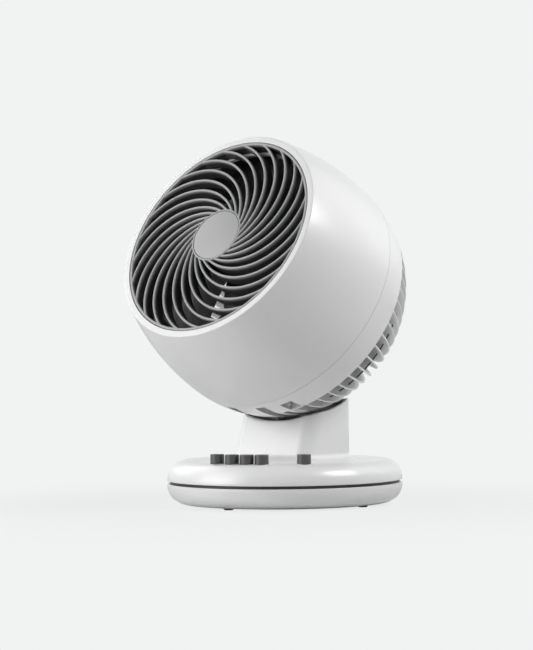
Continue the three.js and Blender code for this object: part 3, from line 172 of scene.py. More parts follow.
BLADE_CAMBER = 3
FAN_HUB_RADIUS = 24
FAN_HUB_FRONT = 22
FAN_HUB_DEPTH = 22
FAN_HUB_WALL = 2.5
FAN_HUB_FACE = 3
FAN_ROUND = 96
BLADE_ROOT_SINK = 2            # how far the blades start inside the hub
BLADE_EDGE_SHARE = 0.35        # a blade's thickness at its edges, as a share of its middle

# ---- Camera, from the photograph's perspective
CAMERA_DISTANCE = 1700
CAMERA_HEIGHT = 123.15
CAMERA_AZIMUTH = 15.7          # degrees to the right of the base's front
CAMERA_PAN = 0.503
CAMERA_PITCH = 1.243
CAMERA_ROLL = 0.605
FOCAL_PIXELS = 1897.3
FRAME_HEIGHT_PIXELS = 650
SENSOR_WIDTH = 36

joints = {joint["name"]: joint for joint in frame["joints"]}


# ---------------------------------------------------------------- frames
def head_matrix():
    """Metres in the row frame from millimetres in the head's frame: X to the right seen from the front,
    Y down and Z to the rear, with the ball's centre as origin."""
    tilt = joints["head_tilt"]
    level = math.radians(-tilt["range_deg"][0])
    across = -Vector(tilt["axis"]).normalized()
    forward_level = Vector((0, 0, 1)).cross(across)
    rear = Matrix.Rotation(-level, 3, across) @ forward_level
    down = rear.cross(across)
    turn = Matrix((across, down, rear)).transposed().to_4x4()
    return Matrix.Translation(Vector(tilt["pos_m"])) @ turn @ Matrix.Scale(MM, 4)


def neck_matrix():
    """Metres in the row frame from millimetres in the neck's frame, which swings with the head at rest."""
    across = -Vector(joints["head_tilt"]["axis"])
    return Matrix.Rotation(math.atan2(across.y, across.x), 4, "Z") @ Matrix.Scale(MM, 4)


HEAD = head_matrix()
NECK = neck_matrix()
BASE = Matrix.Scale(MM, 4)
BALL_CENTRE = NECK.inverted() @ HEAD.translation


# ---------------------------------------------------------------- outlines
def spread(count):
    return [i / (count - 1) for i in range(count)]


def rounded(corners, closed=False):
    """Points of an outline whose corners are (x, y) or (x, y, radius)."""
    points = []
    last = len(corners) - 1
    for i, corner in enumerate(corners):
        here = Vector(corner[:2])
        radius = corner[2] if len(corner) > 2 else 0
        if radius == 0 or (not closed and i in (0, last)):
            points.append(here)
            continue
        before = (Vector(corners[i - 1][:2]) - here).normalized()
        after = (Vector(corners[(i + 1) % len(corners)][:2]) - here).normalized()
        half = before.angle(after) / 2
        reach = radius / math.tan(half)
        centre = here + (before + after).normalized() * radius / math.sin(half)
        start = here + before * reach - centre
        end = here + after * reach - centre
        turn = start.angle_signed(end)
        for t in spread(ARC_STEPS):
            points.append(centre + Matrix.Rotation(-turn * t, 2) @ start)
    return points


def arc(centre, radius, start, end, count):
    """Points of a circular arc between two angles in degrees."""
    angles = [math.radians(start + (end - start) * t) for t in spread(count)]
    return [Vector((centre[0] + radius * math.cos(a), centre[1] + radius * math.sin(a))) for a in angles]


# ---------------------------------------------------------------- meshes
def mesh_object(name, points, faces, matrix):
    mesh = bpy.data.meshes.new(name)
    mesh.from_pydata([matrix @ Vector(p) for p in points], [], faces)
    shell = bmesh.new()
    shell.from_mesh(mesh)
    bmesh.ops.recalc_face_normals(shell, faces=shell.faces)
    shell.to_mesh(mesh)
    shell.free()
    mesh.shade_smooth()
    made = bpy.data.objects.new(name, mesh)
    bpy.context.scene.collection.objects.link(made)
    return made


def lathe(name, profile, matrix, segments=ROUND):
    """A solid of (radius, height) points turned round Z. The profile ends on the axis or joins itself."""
    points = []
    rings = []
    for radius, height in profile:
        if radius < 1e-6:
            rings.append([len(points)] * segments)
            points.append((0, 0, height))
            continue
        rings.append(range(len(points), len(points) + segments))
        for i in range(segments):
            a = 2 * math.pi * i / segments
            points.append((radius * math.cos(a), radius * math.sin(a), height))
    closed = profile[0][0] > 1e-6
    pairs = list(zip(rings, rings[1:]))
    if closed:
        pairs.append((rings[-1], rings[0]))
    faces = []
    for low, high in pairs:
        for i in range(segments):
            j = (i + 1) % segments
            face = [low[i], low[j], high[j], high[i]]
            faces.append(list(dict.fromkeys(face)))
    return mesh_object(name, points, [f for f in faces if len(f) > 2], matrix)


def swept(name, rings, matrix, close_ends=True):
    """A tube through rings of points with equal counts."""
    count = len(rings[0])
    faces = []
    for level in range(len(rings) - 1):
        for i in range(count):
            a = level * count + i
            b = level * count + (i + 1) % count
            faces.append((a, b, b + count, a + count))
    if close_ends:
        faces.append(tuple(range(count)))
        faces.append(tuple((len(rings) - 1) * count + i for i in range(count)))
    return mesh_object(name, [p for ring in rings for p in ring], faces, matrix)


def block(name, outline, x0, x1, matrix):
    """A solid whose (y, z) outline runs along X."""
    rings = [[(x, p[0], p[1]) for p in outline] for x in (x0, x1)]
    return swept(name, rings, matrix)


def remove(thing):
    bpy.data.meshes.remove(thing.data)


def joined(name, parts):
    """One object that holds the meshes of several, which are removed."""
    whole = bmesh.new()
    for part in parts:
        whole.from_mesh(part.data)
    mesh = bpy.data.meshes.new(name)
    whole.to_mesh(mesh)
    whole.free()
    for part in parts:
        remove(part)
    made = bpy.data.objects.new(name, mesh)
    bpy.context.scene.collection.objects.link(made)
    return made


def carved(body, cutters):
    """Cuts the cutters out of the body, and leaves them in place."""
    for cutter in cutters:
        step = body.modifiers.new("cut", "BOOLEAN")
        step.operation = "DIFFERENCE"
        step.solver = "EXACT"
        step.object = cutter
    graph = bpy.context.evaluated_depsgraph_get()
    mesh = bpy.data.meshes.new_from_object(body.evaluated_get(graph))
    body.modifiers.clear()
    body.data = mesh
    return body


def even_shading(thing, angle=35):
    """Keeps large faces flat beside small rounded edges."""
    thing.data.shade_smooth()
    thing.data.set_sharp_from_angle(angle=math.radians(angle))
    step = thing.modifiers.new("even", "WEIGHTED_NORMAL")
    step.keep_sharp = True
    step.weight = 100


# ---------------------------------------------------------------- materials
def new_material(name):
    made = bpy.data.materials.new(name)
    made.use_nodes = True
    tree = made.node_tree
    return made, tree, tree.nodes["Principled BSDF"]


def noise(tree, scale, detail=2.0):
    """A noise texture that rides on the object."""
    place = tree.nodes.new("ShaderNodeTexCoord")
    texture = tree.nodes.new("ShaderNodeTexNoise")
    texture.inputs["Scale"].default_value = scale
    texture.inputs["Detail"].default_value = detail
    tree.links.new(place.outputs["Object"], texture.inputs["Vector"])
    return texture.outputs["Fac"]


def ranged(tree, value, low, high):
    step = tree.nodes.new("ShaderNodeMapRange")
    step.inputs["To Min"].default_value = low
    step.inputs["To Max"].default_value = high
    tree.links.new(value, step.inputs["Value"])
    return step.outputs["Result"]


def tinted(tree, value, dark, light):
    ramp = tree.nodes.new("ShaderNodeValToRGB")
    ramp.color_ramp.elements[0].color = (*dark, 1)
    ramp.color_ramp.elements[1].color = (*light, 1)
    ramp.color_ramp.elements[0].position = 0.3
    ramp.color_ramp.elements[1].position = 0.7
    tree.links.new(value, ramp.inputs["Fac"])
    return ramp.outputs["Color"]


def bumped(tree, height, strength, distance):
    bump = tree.nodes.new("ShaderNodeBump")
    bump.inputs["Strength"].default_value = strength
    bump.inputs["Distance"].default_value = distance
    tree.links.new(height, bump.inputs["Height"])
    return bump.outputs["Normal"]


def moulded(name, dark, light, roughness, grain_scale, grain, metallic=0.0, coat=0.0, coat_roughness=0.03):
    """Moulded plastic or metal: slow colour drift, uneven gloss and a fine grain."""
    made, tree, shader = new_material(name)
    slow = noise(tree, 9)
    patchy = noise(tree, 55, 3)
    fine = noise(tree, grain_scale, 3)
    tree.links.new(tinted(tree, slow, dark, light), shader.inputs["Base Color"])
    tree.links.new(ranged(tree, patchy, roughness[0], roughness[1]), shader.inputs["Roughness"])
    tree.links.new(bumped(tree, fine, grain, 0.0001), shader.inputs["Normal"])
    shader.inputs["Metallic"].default_value = metallic
    shader.inputs["Coat Weight"].default_value = coat
    shader.inputs["Coat Roughness"].default_value = coat_roughness
    return made


def painted_shade_inside(made, colour, first, last):
    """Painted shade: lets a material run out into a darker one between two depths in mm behind the grille's
    front, standing for the shade on the ribs' deep flanks.
    """
    tree = made.node_tree
    shader = tree.nodes["Principled BSDF"]
    depth = tree.nodes.new("ShaderNodeAttribute")
    depth.attribute_name = "depth"
    fade = tree.nodes.new("ShaderNodeMapRange")
    fade.inputs["From Min"].default_value = first
    fade.inputs["From Max"].default_value = last
    tree.links.new(depth.outputs["Fac"], fade.inputs["Value"])
    mix = tree.nodes.new("ShaderNodeMix")
    mix.data_type = "RGBA"
    mix.inputs["B"].default_value = (*colour, 1)
    tree.links.new(fade.outputs["Result"], mix.inputs["Factor"])
    outside = shader.inputs["Base Color"].links[0].from_socket
    tree.links.new(outside, mix.inputs["A"])
    tree.links.new(mix.outputs["Result"], shader.inputs["Base Color"])


def grey(value):
    return (value, value, value)


WHITE = moulded("white_shell", grey(0.78), grey(0.80), (0.27, 0.33), 900, 0.02, coat=1.0, coat_roughness=0.32)
GRILLE = moulded("grille_grey", grey(0.36), grey(0.39), (0.36, 0.44), 1400, 0.12, coat=0.1,
                 coat_roughness=0.2)
# painted shade: the ribs' flanks turn dark with depth behind the front
painted_shade_inside(GRILLE, grey(0.05), RIB_LIGHT_TO, RIB_DARK_FROM)
HUB = moulded("hub_silver", grey(0.31), grey(0.34), (0.34, 0.42), 2200, 0.15, metallic=0.25)
BUTTON = moulded("button_grey", grey(0.07), grey(0.085), (0.22, 0.28), 1600, 0.06)
RUBBER = moulded("foot_rubber", grey(0.02), grey(0.035), (0.6, 0.8), 1200, 0.4)
FAN = moulded("fan_black", grey(0.012), grey(0.018), (0.25, 0.35), 900, 0.08)
INNER = moulded("inner_black", grey(0.015), grey(0.022), (0.4, 0.55), 900, 0.2)
BOARD = moulded("board_green", (0.02, 0.13, 0.05), (0.03, 0.16, 0.07), (0.3, 0.45), 700, 0.2)
NYLON = moulded("nylon", (0.66, 0.64, 0.56), (0.70, 0.68, 0.61), (0.4, 0.5), 900, 0.15)
STEEL = moulded("steel", grey(0.48), grey(0.56), (0.22, 0.4), 1800, 0.2, metallic=1.0)

SLOT_MATERIALS = {
    "white_shell": WHITE,
    "grille_grey": GRILLE,
    "hub_silver": HUB,
    "button_grey": BUTTON,
    "foot_rubber": RUBBER,
    "fan_black": FAN,
    "inner_black": INNER,
    "board_green": BOARD,
    "nylon": NYLON,
    "steel": STEEL,
}


def finished(thing, body, slot, *nodes, angle=35):
    """Gives a new piece its material, its body and the CAD nodes that it stands for."""
    thing.data.materials.clear()
    thing.data.materials.append(SLOT_MATERIALS[slot])
    even_shading(thing, angle)
    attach(thing, body)
    if nodes:
        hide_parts(*nodes)
    return thing


# ---------------------------------------------------------------- base
def standing_at(place):
    """The base's frame, moved over a place."""
    return BASE @ Matrix.Translation((place.x, place.y, 0))


def lower_shell():
    flat = BASE_RADIUS - BASE_EDGE
    spigot = BASE_RADIUS - GROOVE_DEPTH
    inside = spigot - WALL
    curve = [
        (flat + BASE_EDGE * math.sin(t * math.pi / 2),
         BASE_WIDEST - (BASE_WIDEST - BASE_UNDERSIDE) * math.cos(t * math.pi / 2)) for t in spread(24)
    ]
    profile = rounded([
        (0, BASE_UNDERSIDE), (flat / 2, BASE_UNDERSIDE), *curve, (BASE_RADIUS, GROOVE_LOW, 0.5),
        (spigot, GROOVE_LOW, 0.2), (spigot, SPIGOT_TOP), (inside, SPIGOT_TOP), (inside, BASE_WIDEST),
        (flat - WALL, BASE_UNDERSIDE + WALL), (0, BASE_UNDERSIDE + WALL),
    ])
    shell = lathe("base_lower", profile, BASE)
    cutters = []
    for i in range(1, 5):
        low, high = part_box(f"base_screw_{i}")
        middle = (low + high) / 2 / MM
        recess = [(0, 0), (SCREW_RECESS_RADIUS, 0), (SCREW_RECESS_RADIUS, SCREW_RECESS_TOP),
                  (0, SCREW_RECESS_TOP)]
        cutters.append(lathe("recess", recess, standing_at(middle), RECESS_ROUND))
    low, high = (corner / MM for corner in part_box("power_inlet"))
    bottom = low.z - SEAM_GAP
    top = high.z + SEAM_GAP
    near = low.y - 1
    far = high.y + BASE_EDGE
    outline = [(near, bottom), (far, bottom), (far, top), (near, top)]
    cutters.append(block("inlet_hole", outline, low.x - SEAM_GAP, high.x + SEAM_GAP, BASE))
    carved(shell, cutters)
    for cutter in cutters:
        remove(cutter)
    finished(shell, "base", "white_shell", "base_lower_shell")


def groove_shade_band():
    """A black strip at the bottom of the parting groove: painted shade for the groove's dark shadow."""
    inside = BASE_RADIUS - GROOVE_DEPTH + 0.02
    outside = inside + GROOVE_BAND
    low = GROOVE_LOW + GROOVE_BAND_GAP
    high = GROOVE_HIGH - GROOVE_BAND_GAP
    profile = [(inside, low), (outside, low), (outside, high), (inside, high)]
    finished(lathe("groove_shadow_strip", profile, BASE), "base", "inner_black")


def button_places():
    for i in range(1, 6):
        low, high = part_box(f"button_{i}")
        yield i, (low + high) / 2 / MM


def upper_shell():
    flat = BASE_RADIUS - BASE_EDGE
    inside = BASE_RADIUS - GROOVE_DEPTH + SEAM_GAP
    power = 2 / TOP_ROUNDING
    curve = []
    for t in spread(36):
        a = t * math.pi / 2
        out = max(math.cos(a), 0) ** power
        up = math.sin(a) ** power
        curve.append((flat + BASE_EDGE * out, GROOVE_HIGH - 1 + (BASE_TOP - GROOVE_HIGH + 1) * up))
    curve = [p for p in curve if p[1] > GROOVE_HIGH + 0.6]
    opening = TURNTABLE_RADIUS + TURNTABLE_GAP
    profile = rounded([
        (inside, GROOVE_HIGH), (curve[0][0] - 0.1, GROOVE_HIGH, 0.4), *curve, (opening, BASE_TOP, 0.4),
        (opening, BASE_TOP - WALL), (flat, BASE_TOP - WALL), (inside, SPIGOT_TOP),
    ])
    shell = lathe("base_upper", profile, BASE)
    cutters = []
    for _, place in button_places():
        radius = BUTTON_RADIUS + BUTTON_GAP
        bottom = BASE_TOP - BUTTON_HOLE_DEPTH
        hole = [(0, bottom), (radius, bottom), (radius, BASE_TOP + 2), (0, BASE_TOP + 2)]
        cutters.append(lathe("button_hole", hole, standing_at(place), SMALL_ROUND))
    carved(shell, cutters)
    for cutter in cutters:
        remove(cutter)
    finished(shell, "base", "white_shell", "base_upper_shell")


def buttons():
    for i, place in button_places():
        low, high = (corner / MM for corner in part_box(f"button_{i}"))
        skirt = BASE_TOP - BUTTON_SKIRT
        profile = rounded([
            (0, low.z), (BUTTON_STEM_RADIUS, low.z), (BUTTON_STEM_RADIUS, skirt), (BUTTON_RADIUS, skirt),
            (BUTTON_RADIUS, high.z, 0.7), (BUTTON_RADIUS - 1.6, high.z - 0.1, 1.0), (0, high.z - 0.5),
        ])
        cap = lathe(f"button_cap_{i}", profile, standing_at(place), SMALL_ROUND)
        finished(cap, f"button_{i}", "button_grey", f"button_{i}")


def feet():
    for i in range(1, 5):
        low, high = (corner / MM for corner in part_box(f"foot_{i}"))
        middle = (low + high) / 2
        profile = rounded([(0, 0), (FOOT_RADIUS - 1.5, 0, 0.3), (FOOT_RADIUS, high.z, 0.3), (0, high.z)])
        foot = lathe(f"rubber_foot_{i}", profile, standing_at(middle), SMALL_ROUND)
        finished(foot, "base", "foot_rubber", f"foot_{i}")


# ---------------------------------------------------------------- neck
def neck_section(z, grow):
    """Points of the neck's rounded rectangle at one height, with their outward directions."""
    slope = (NECK_FRONT_AT_TOP - NECK_FRONT_AT_FOOT) / (NECK_SLOPE_TOP - BASE_TOP - NECK_FLARE)
    front = NECK_FRONT_AT_TOP - slope * (NECK_SLOPE_TOP - z)
    side = NECK_HALF_WIDTH - NECK_CORNER
    centres = [(side, NECK_BACK - NECK_CORNER), (-side, NECK_BACK - NECK_CORNER),
               (-side, front + NECK_CORNER), (side, front + NECK_CORNER)]
    found = []
    for quarter, centre in enumerate(centres):
        for t in spread(14):
            a = math.radians(90 * (quarter + t))
            out = Vector((math.cos(a), math.sin(a)))
            found.append((Vector(centre) + out * (NECK_CORNER + grow), out))
        following = centres[(quarter + 1) % 4]
        edge = Vector((math.cos(a), math.sin(a)))
        for t in spread(26)[1:-1]:
            found.append((Vector(centre).lerp(Vector(following), t) + edge * (NECK_CORNER + grow), edge))
    return found


def saddle_height(index, grow):
    """Height where the wall meets the sphere that the neck is cut by."""
    reach = BALL_RADIUS + SADDLE_CLEARANCE
    z = BALL_CENTRE.z - reach
    for _ in range(12):
        place = neck_section(z, grow)[index][0]
        away = (place - BALL_CENTRE.xy).length
        z = BALL_CENTRE.z - math.sqrt(max(reach * reach - away * away, 0))
    return z


def quarter_round(radius):
    """How far inward and down a rounded edge lies, from its side to its top."""
    angles = [t * math.pi / 2 for t in spread(8)]
    return [(radius * (1 - math.cos(a)), radius * (1 - math.sin(a))) for a in angles]


def neck():
    count = len(neck_section(BASE_TOP, 0))
    columns = []
    for i in range(count):
        column = []
        for t in spread(9):
            a = t * math.pi / 2
            z = BASE_TOP + NECK_FLARE * (1 - math.cos(a))
            column.append((z, NECK_FLARE * (1 - math.sin(a))))
        outside, inside = (quarter_round(radius) for radius in (NECK_RIM_ROUND, NECK_RIM_INNER_ROUND))
        outer_top = saddle_height(i, 0) - NECK_RIM_ROUND
        for t in spread(10)[1:-1]:
            column.append((column[8][0] + (outer_top - column[8][0]) * t, 0))
        for inward, down in outside:
            column.append((saddle_height(i, -inward) - down, -inward))
        for inward, down in reversed(inside):
            depth = WALL - inward
            column.append((saddle_height(i, -depth) - down, -depth))
        column.append((BASE_TOP + 1, -WALL))
        columns.append(column)
    rings = []
    for level in range(len(columns[0])):
        ring = []
        for i in range(count):
            z, grow = columns[i][level]
            place = neck_section(z, grow)[i][0]
            ring.append((place.x, place.y, z))
        rings.append(ring)
    column = swept("neck_column", rings, NECK)
    under = BASE_TOP - TURNTABLE_THICKNESS
    plate = lathe("turntable", rounded([
        (0, BASE_TOP), (TURNTABLE_RADIUS, BASE_TOP, 0.4), (TURNTABLE_RADIUS, under, 0.4), (0, under),
    ]), NECK)
    finished(joined("neck", [column, plate]), "neck", "white_shell", "neck_shell", angle=50)


# ---------------------------------------------------------------- head
def behind(s):
    return s - GRILLE_AHEAD


def front_radius(s):
    return BALL_RADIUS - FRONT_ARC_RADIUS + math.sqrt(FRONT_ARC_RADIUS ** 2 - (s - GRILLE_AHEAD) ** 2)


OPENING_RADIUS = front_radius(0) - LIP_WIDTH
LEDGE_RADIUS = OPENING_RADIUS - LEDGE_WIDTH


def on_ball(radius, degrees):
    """A point at an angle behind the ball's widest circle, or behind straight down in the keel's plane."""
    return Vector((radius * math.cos(math.radians(degrees)), radius * math.sin(math.radians(degrees))))


def front_shell():
    seam = SEAM_BEHIND - SEAM_GAP / 2
    seam_angle = math.degrees(math.asin(seam / BALL_RADIUS))
    first = 1.5
    outer = [(front_radius(s), behind(s)) for s in (first + (GRILLE_AHEAD - first) * t for t in spread(48))]
    inner = [(r - WALL, z) for r, z in outer[::4] if z > behind(LEDGE_DEPTH + LEDGE_THICKNESS)]
    profile = rounded([
        (OPENING_RADIUS, behind(0), 0.6), (front_radius(0), behind(0), 1.3), *outer[1:],
        *arc((0, 0), BALL_RADIUS, 1, seam_angle - 0.1, 4),
        (BALL_RADIUS * math.cos(math.radians(seam_angle)), seam, 0.15),
        (BALL_RADIUS - WALL, seam), *reversed(inner), (LEDGE_RADIUS, behind(LEDGE_DEPTH + LEDGE_THICKNESS)),
        (LEDGE_RADIUS, behind(LEDGE_DEPTH)), (OPENING_RADIUS, behind(LEDGE_DEPTH)),
    ], closed=True)
    finished(lathe("head_front", profile, HEAD), "head", "white_shell", "front_shell")


def slot_block(x0, x1, start, end, outer, inner):
    """A block that bends round the lower rear, between two angles behind straight down."""
    angles = [start + (end - start) * t for t in spread(24)]
    outline = [on_ball(outer, a) for a in angles] + [on_ball(inner, a) for a in reversed(angles)]
    return block("slot", outline, x0, x1, HEAD)


def slots():
    """The slots for the arms and the gaps beside them, as their sides in X and their angles."""
    keel_gap = (ARM_SLOT_OUTER + KEEL_GAP_MARGIN, KEEL_HALF_WIDTH - KEEL_GAP_MARGIN)
    side_gap = (KEEL_HALF_WIDTH + 1, KEEL_HALF_WIDTH + 1 + SIDE_GAP_WIDTH)
    for side in (-1, 1):
        yield (*sorted((side * ARM_SLOT_INNER, side * ARM_SLOT_OUTER)), ARM_SLOT_FROM, ARM_SLOT_TO)
        yield (*sorted((side * keel_gap[0], side * keel_gap[1])), VANE_START, REAR_CAP_FROM - KEEL_GAP_SHORT)
        yield (*sorted((side * side_gap[0], side * side_gap[1])), SIDE_GAP_FROM, VANE_START)


def slices():
    return [slot_block(x0, x1, start, end, BALL_RADIUS + SLOT_CUT_OUTSIDE,
                       BALL_RADIUS - VANE_DEPTH - SLOT_CUT_INSIDE)
            for x0, x1, start, end in slots()]


def cheeks():
    """Deep walls on both sides of each slot, as the vanes are deep beside their gaps."""
    walls = []
    for x0, x1, start, end in slots():
        for near, far in ((x0 - CHEEK_THICKNESS, x0), (x1, x1 + CHEEK_THICKNESS)):
            beside = max(abs(near), abs(far))
            outer = math.sqrt((BALL_RADIUS - VANE_SET_IN) ** 2 - beside ** 2)
            walls.append(slot_block(near, far, start - 1, min(end + 1, 90), outer, outer - CHEEK_DEPTH))
    return walls


def vane_angle(index):
    return math.radians(index * 360 / VANE_COUNT + VANE_PHASE - 90)


def vane(index):
    """One meridional plate with a rounded outer edge."""
    half = VANE_THICKNESS / 2
    edge = BALL_RADIUS - VANE_SET_IN / 2
    root = BALL_RADIUS - VANE_DEPTH
    section = [(root, -half), *[(edge - half + half * math.cos(a), half * math.sin(a))
                                for a in (math.radians(-90 + 180 * t) for t in spread(9))], (root, half)]
    turn = vane_angle(index)
    outward = Vector((math.cos(turn), math.sin(turn), 0))
    across = Vector((-math.sin(turn), math.cos(turn), 0))
    rings = []
    for t in spread(30):
        a = math.radians(VANE_START - 1 + (REAR_CAP_FROM + 2 - VANE_START) * t)
        rings.append([outward * r * math.cos(a) + across * w + Vector((0, 0, r * math.sin(a)))
                      for r, w in section])
    return swept("vane", rings, HEAD)


def has_vane(index):
    turn = vane_angle(index)
    off_middle = abs(math.cos(turn)) * BALL_RADIUS * math.cos(math.radians(VANE_START))
    return math.sin(turn) < 0 or off_middle > KEEL_HALF_WIDTH


def rear_shell():
    seam = SEAM_BEHIND + SEAM_GAP / 2
    seam_angle = math.degrees(math.asin(seam / BALL_RADIUS))
    deep = BALL_RADIUS - VANE_DEPTH - 1
    wall_inner = BALL_RADIUS - WALL
    spigot = front_radius(GRILLE_AHEAD) - WALL - SEAM_GAP
    start = on_ball(BALL_RADIUS, VANE_START)
    band = lathe("band", rounded([
        (BALL_RADIUS * math.cos(math.radians(seam_angle)), seam, 0.15),
        *arc((0, 0), BALL_RADIUS, seam_angle + 0.2, VANE_START - 0.5, 14), (start.x, start.y, 0.4),
        on_ball(deep, VANE_START), on_ball(deep, VANE_START - 2), on_ball(wall_inner, VANE_START - 2),
        on_ball(wall_inner, seam_angle + 3), (spigot - WALL, seam + SPIGOT_BEHIND),
        (spigot - WALL, seam - SPIGOT_AHEAD), (spigot, seam - SPIGOT_AHEAD), (spigot, seam),
    ], closed=True), HEAD)
    edge = on_ball(BALL_RADIUS, REAR_CAP_FROM)
    cap = lathe("cap", rounded([
        (0, wall_inner), *reversed(arc((0, 0), wall_inner, REAR_CAP_FROM + 2, 88, 10)),
        on_ball(deep, REAR_CAP_FROM + 2), on_ball(deep, REAR_CAP_FROM), (edge.x, edge.y, 0.6),
        *arc((0, 0), BALL_RADIUS, REAR_CAP_FROM + 0.8, 88, 16), (0, BALL_RADIUS),
    ]), HEAD)
    outer = BALL_RADIUS - VANE_SET_IN / 2
    skin = []
    cuts = slices()
    strips = [(-KEEL_HALF_WIDTH, -ARM_SLOT_OUTER), (-ARM_SLOT_INNER, ARM_SLOT_INNER),
              (ARM_SLOT_OUTER, KEEL_HALF_WIDTH)]
    for x0, x1 in strips:
        skin.append(keel_strip(x0, x1, outer, WALL, VANE_START - 1, REAR_CAP_FROM + 1))
    body = [carved(part, cuts) for part in (band, cap, *skin)] + cheeks()
    for cut in cuts:
        remove(cut)
    vanes = [vane(i) for i in range(VANE_COUNT) if has_vane(i)]
    finished(joined("head_rear", body + vanes), "head", "white_shell", "rear_shell")


def hoop():
    """A thin hoop that ties the vanes together, open at the keel. It is black as painted shade: the dark
    shadow line inside the vane gaps.
    """
    outside = BALL_RADIUS - HOOP_OUTSIDE
    half = math.degrees(HOOP_WIDTH / 2 / outside)
    section = [on_ball(radius, HOOP_AT + side * half) for radius, side in
               ((outside, -1), (outside, 1), (outside - HOOP_DEPTH, 1), (outside - HOOP_DEPTH, -1))]
    opening = math.asin(KEEL_HALF_WIDTH / outside / math.cos(math.radians(HOOP_AT)))
    rings = []
    for t in spread(ROUND):
        a = math.pi / 2 + opening + (2 * math.pi - 2 * opening) * t
        rings.append([(p.x * math.cos(a), p.x * math.sin(a), p.y) for p in section])
    # black: painted shade for the dark line in the vane gaps
    finished(swept("hoop", rings, HEAD), "head", "inner_black", "vane_hoop")


def keel_strip(x0, x1, outer, wall, start, end):
    """A strip of the rear ball's lower skin, between two angles behind straight down."""
    rings = []
    for t in spread(40):
        back = math.sin(math.radians(start + (end - start) * t))
        ring = []
        for radius, columns in ((outer, spread(8)), (outer - wall, reversed(spread(8)))):
            for u in columns:
                x = x0 + (x1 - x0) * u
                z = radius * back
                ring.append((x, math.sqrt(radius * radius - z * z - x * x), z))
        rings.append(ring)
    return swept("keel", rings, HEAD)


# ---------------------------------------------------------------- grille and fan
GRILLE_RADIUS = OPENING_RADIUS - 0.5
GRILLE_INSIDE = GRILLE_RADIUS - GRILLE_RING_WIDTH


def grille_front(radius):
    return -GRILLE_DOME * (1 - (radius / GRILLE_RADIUS) ** 2)


def rib_point(radius):
    """Point of a rib's centre line, seen from the front with X right and Y up."""
    distance = math.hypot(*RIB_CENTRE)
    cosine = (radius ** 2 + distance ** 2 - RIB_ARC_RADIUS ** 2) / (2 * radius * distance)
    a = math.atan2(RIB_CENTRE[1], RIB_CENTRE[0]) - math.acos(max(-1, min(1, cosine)))
    return Vector((radius * math.cos(a), radius * math.sin(a)))


def rib(index):
    turn = Matrix.Rotation(-math.radians(RIB_PHASE + index * 360 / RIB_COUNT), 2)
    half = RIB_THICKNESS / 2
    inner = GRILLE_HUB_RADIUS - RIB_HUB_OVERLAP
    outer = GRILLE_INSIDE + RIB_OVERLAP
    rings = []
    for t in spread(30):
        radius = inner + (outer - inner) * t
        here = rib_point(radius)
        ahead = (rib_point(radius + 0.5) - rib_point(radius - 0.5)).normalized()
        across = Vector((-ahead.y, ahead.x))
        front = grille_front(radius) + 0.4
        section = [(-half, RIB_DEPTH - 0.3), *[(-half * math.cos(a), front + half * (1 - math.sin(a)))
                   for a in (math.pi * u for u in spread(9))], (half, RIB_DEPTH - 0.3)]
        ring = []
        for w, s in section:
            place = turn @ (here + across * w)
            ring.append((place.x, -place.y, behind(s)))
        rings.append(ring)
    return swept("rib", rings, HEAD)


def grille():
    ring = lathe("ring", rounded([
        (GRILLE_INSIDE, behind(LEDGE_DEPTH - 0.3)), (GRILLE_INSIDE, behind(0.2), 0.7),
        (GRILLE_RADIUS, behind(0.2), 0.7), (GRILLE_RADIUS, behind(LEDGE_DEPTH - 0.3)),
    ], closed=True), HEAD)
    front = grille_front(GRILLE_HUB_RADIUS)
    seat = front + 2.7
    hub = lathe("hub", rounded([
        (0, behind(seat)), (HUB_CAP_RADIUS + 0.3, behind(seat)), (HUB_CAP_RADIUS + 0.3, behind(front), 0.3),
        (GRILLE_HUB_RADIUS, behind(front), 0.6), (GRILLE_HUB_RADIUS, behind(RIB_DEPTH)),
        (0, behind(RIB_DEPTH)),
    ]), HEAD)
    ribs = [rib(i) for i in range(RIB_COUNT)]
    whole = joined("grille", [ring, hub, *ribs])
    depth = whole.data.attributes.new("depth", "FLOAT", "POINT")
    to_head = HEAD.inverted()
    for vertex, value in zip(whole.data.vertices, depth.data):
        value.value = (to_head @ vertex.co).z - behind(0)
    finished(whole, "head", "grille_grey", "front_grille")


def hub_cap():
    front = grille_front(GRILLE_HUB_RADIUS)
    dome = [(HUB_CAP_RADIUS * 0.94 * t, behind(front - 0.8 + 0.9 * t * t)) for t in spread(12)]
    cap = lathe("hub_disc", rounded([
        *dome, (HUB_CAP_RADIUS, behind(front + 0.2), 0.5), (HUB_CAP_RADIUS, behind(front + 2.4)),
        (0, behind(front + 2.4)),
    ]), HEAD)
    finished(cap, "head", "hub_silver", "hub_cap")


def blade(index):
    middle = behind(FAN_HUB_FRONT + FAN_HUB_DEPTH / 2)
    span = math.radians(BLADE_SPAN_ANGLE)
    turn = Matrix.Rotation(math.radians(index * 360 / BLADE_COUNT - BLADE_PHASE), 3, "Z")

    def surface(t, u, offset):
        radius = FAN_HUB_RADIUS - BLADE_ROOT_SINK + (BLADE_TIP - FAN_HUB_RADIUS + BLADE_ROOT_SINK) * t
        pitch = math.radians(BLADE_ROOT_ANGLE + (BLADE_TIP_ANGLE - BLADE_ROOT_ANGLE) * t)
        a = span * (u - 0.5 + BLADE_SWEEP * t * t)
        depth = math.tan(pitch) * radius * span * (u - 0.5) * BLADE_FLAT
        z = middle + depth - BLADE_CAMBER * math.sin(math.pi * u) + offset
        return turn @ Vector((radius * math.cos(a), -radius * math.sin(a), z))

    def half_thickness(u):
        return BLADE_THICKNESS / 2 * (BLADE_EDGE_SHARE + (1 - BLADE_EDGE_SHARE) * math.sin(math.pi * u))

    rings = []
    for t in spread(20):
        near = [surface(t, u, half_thickness(u)) for u in spread(14)]
        far = [surface(t, u, -half_thickness(u)) for u in spread(14)]
        rings.append(near + list(reversed(far)))
    return swept("blade", rings, HEAD)


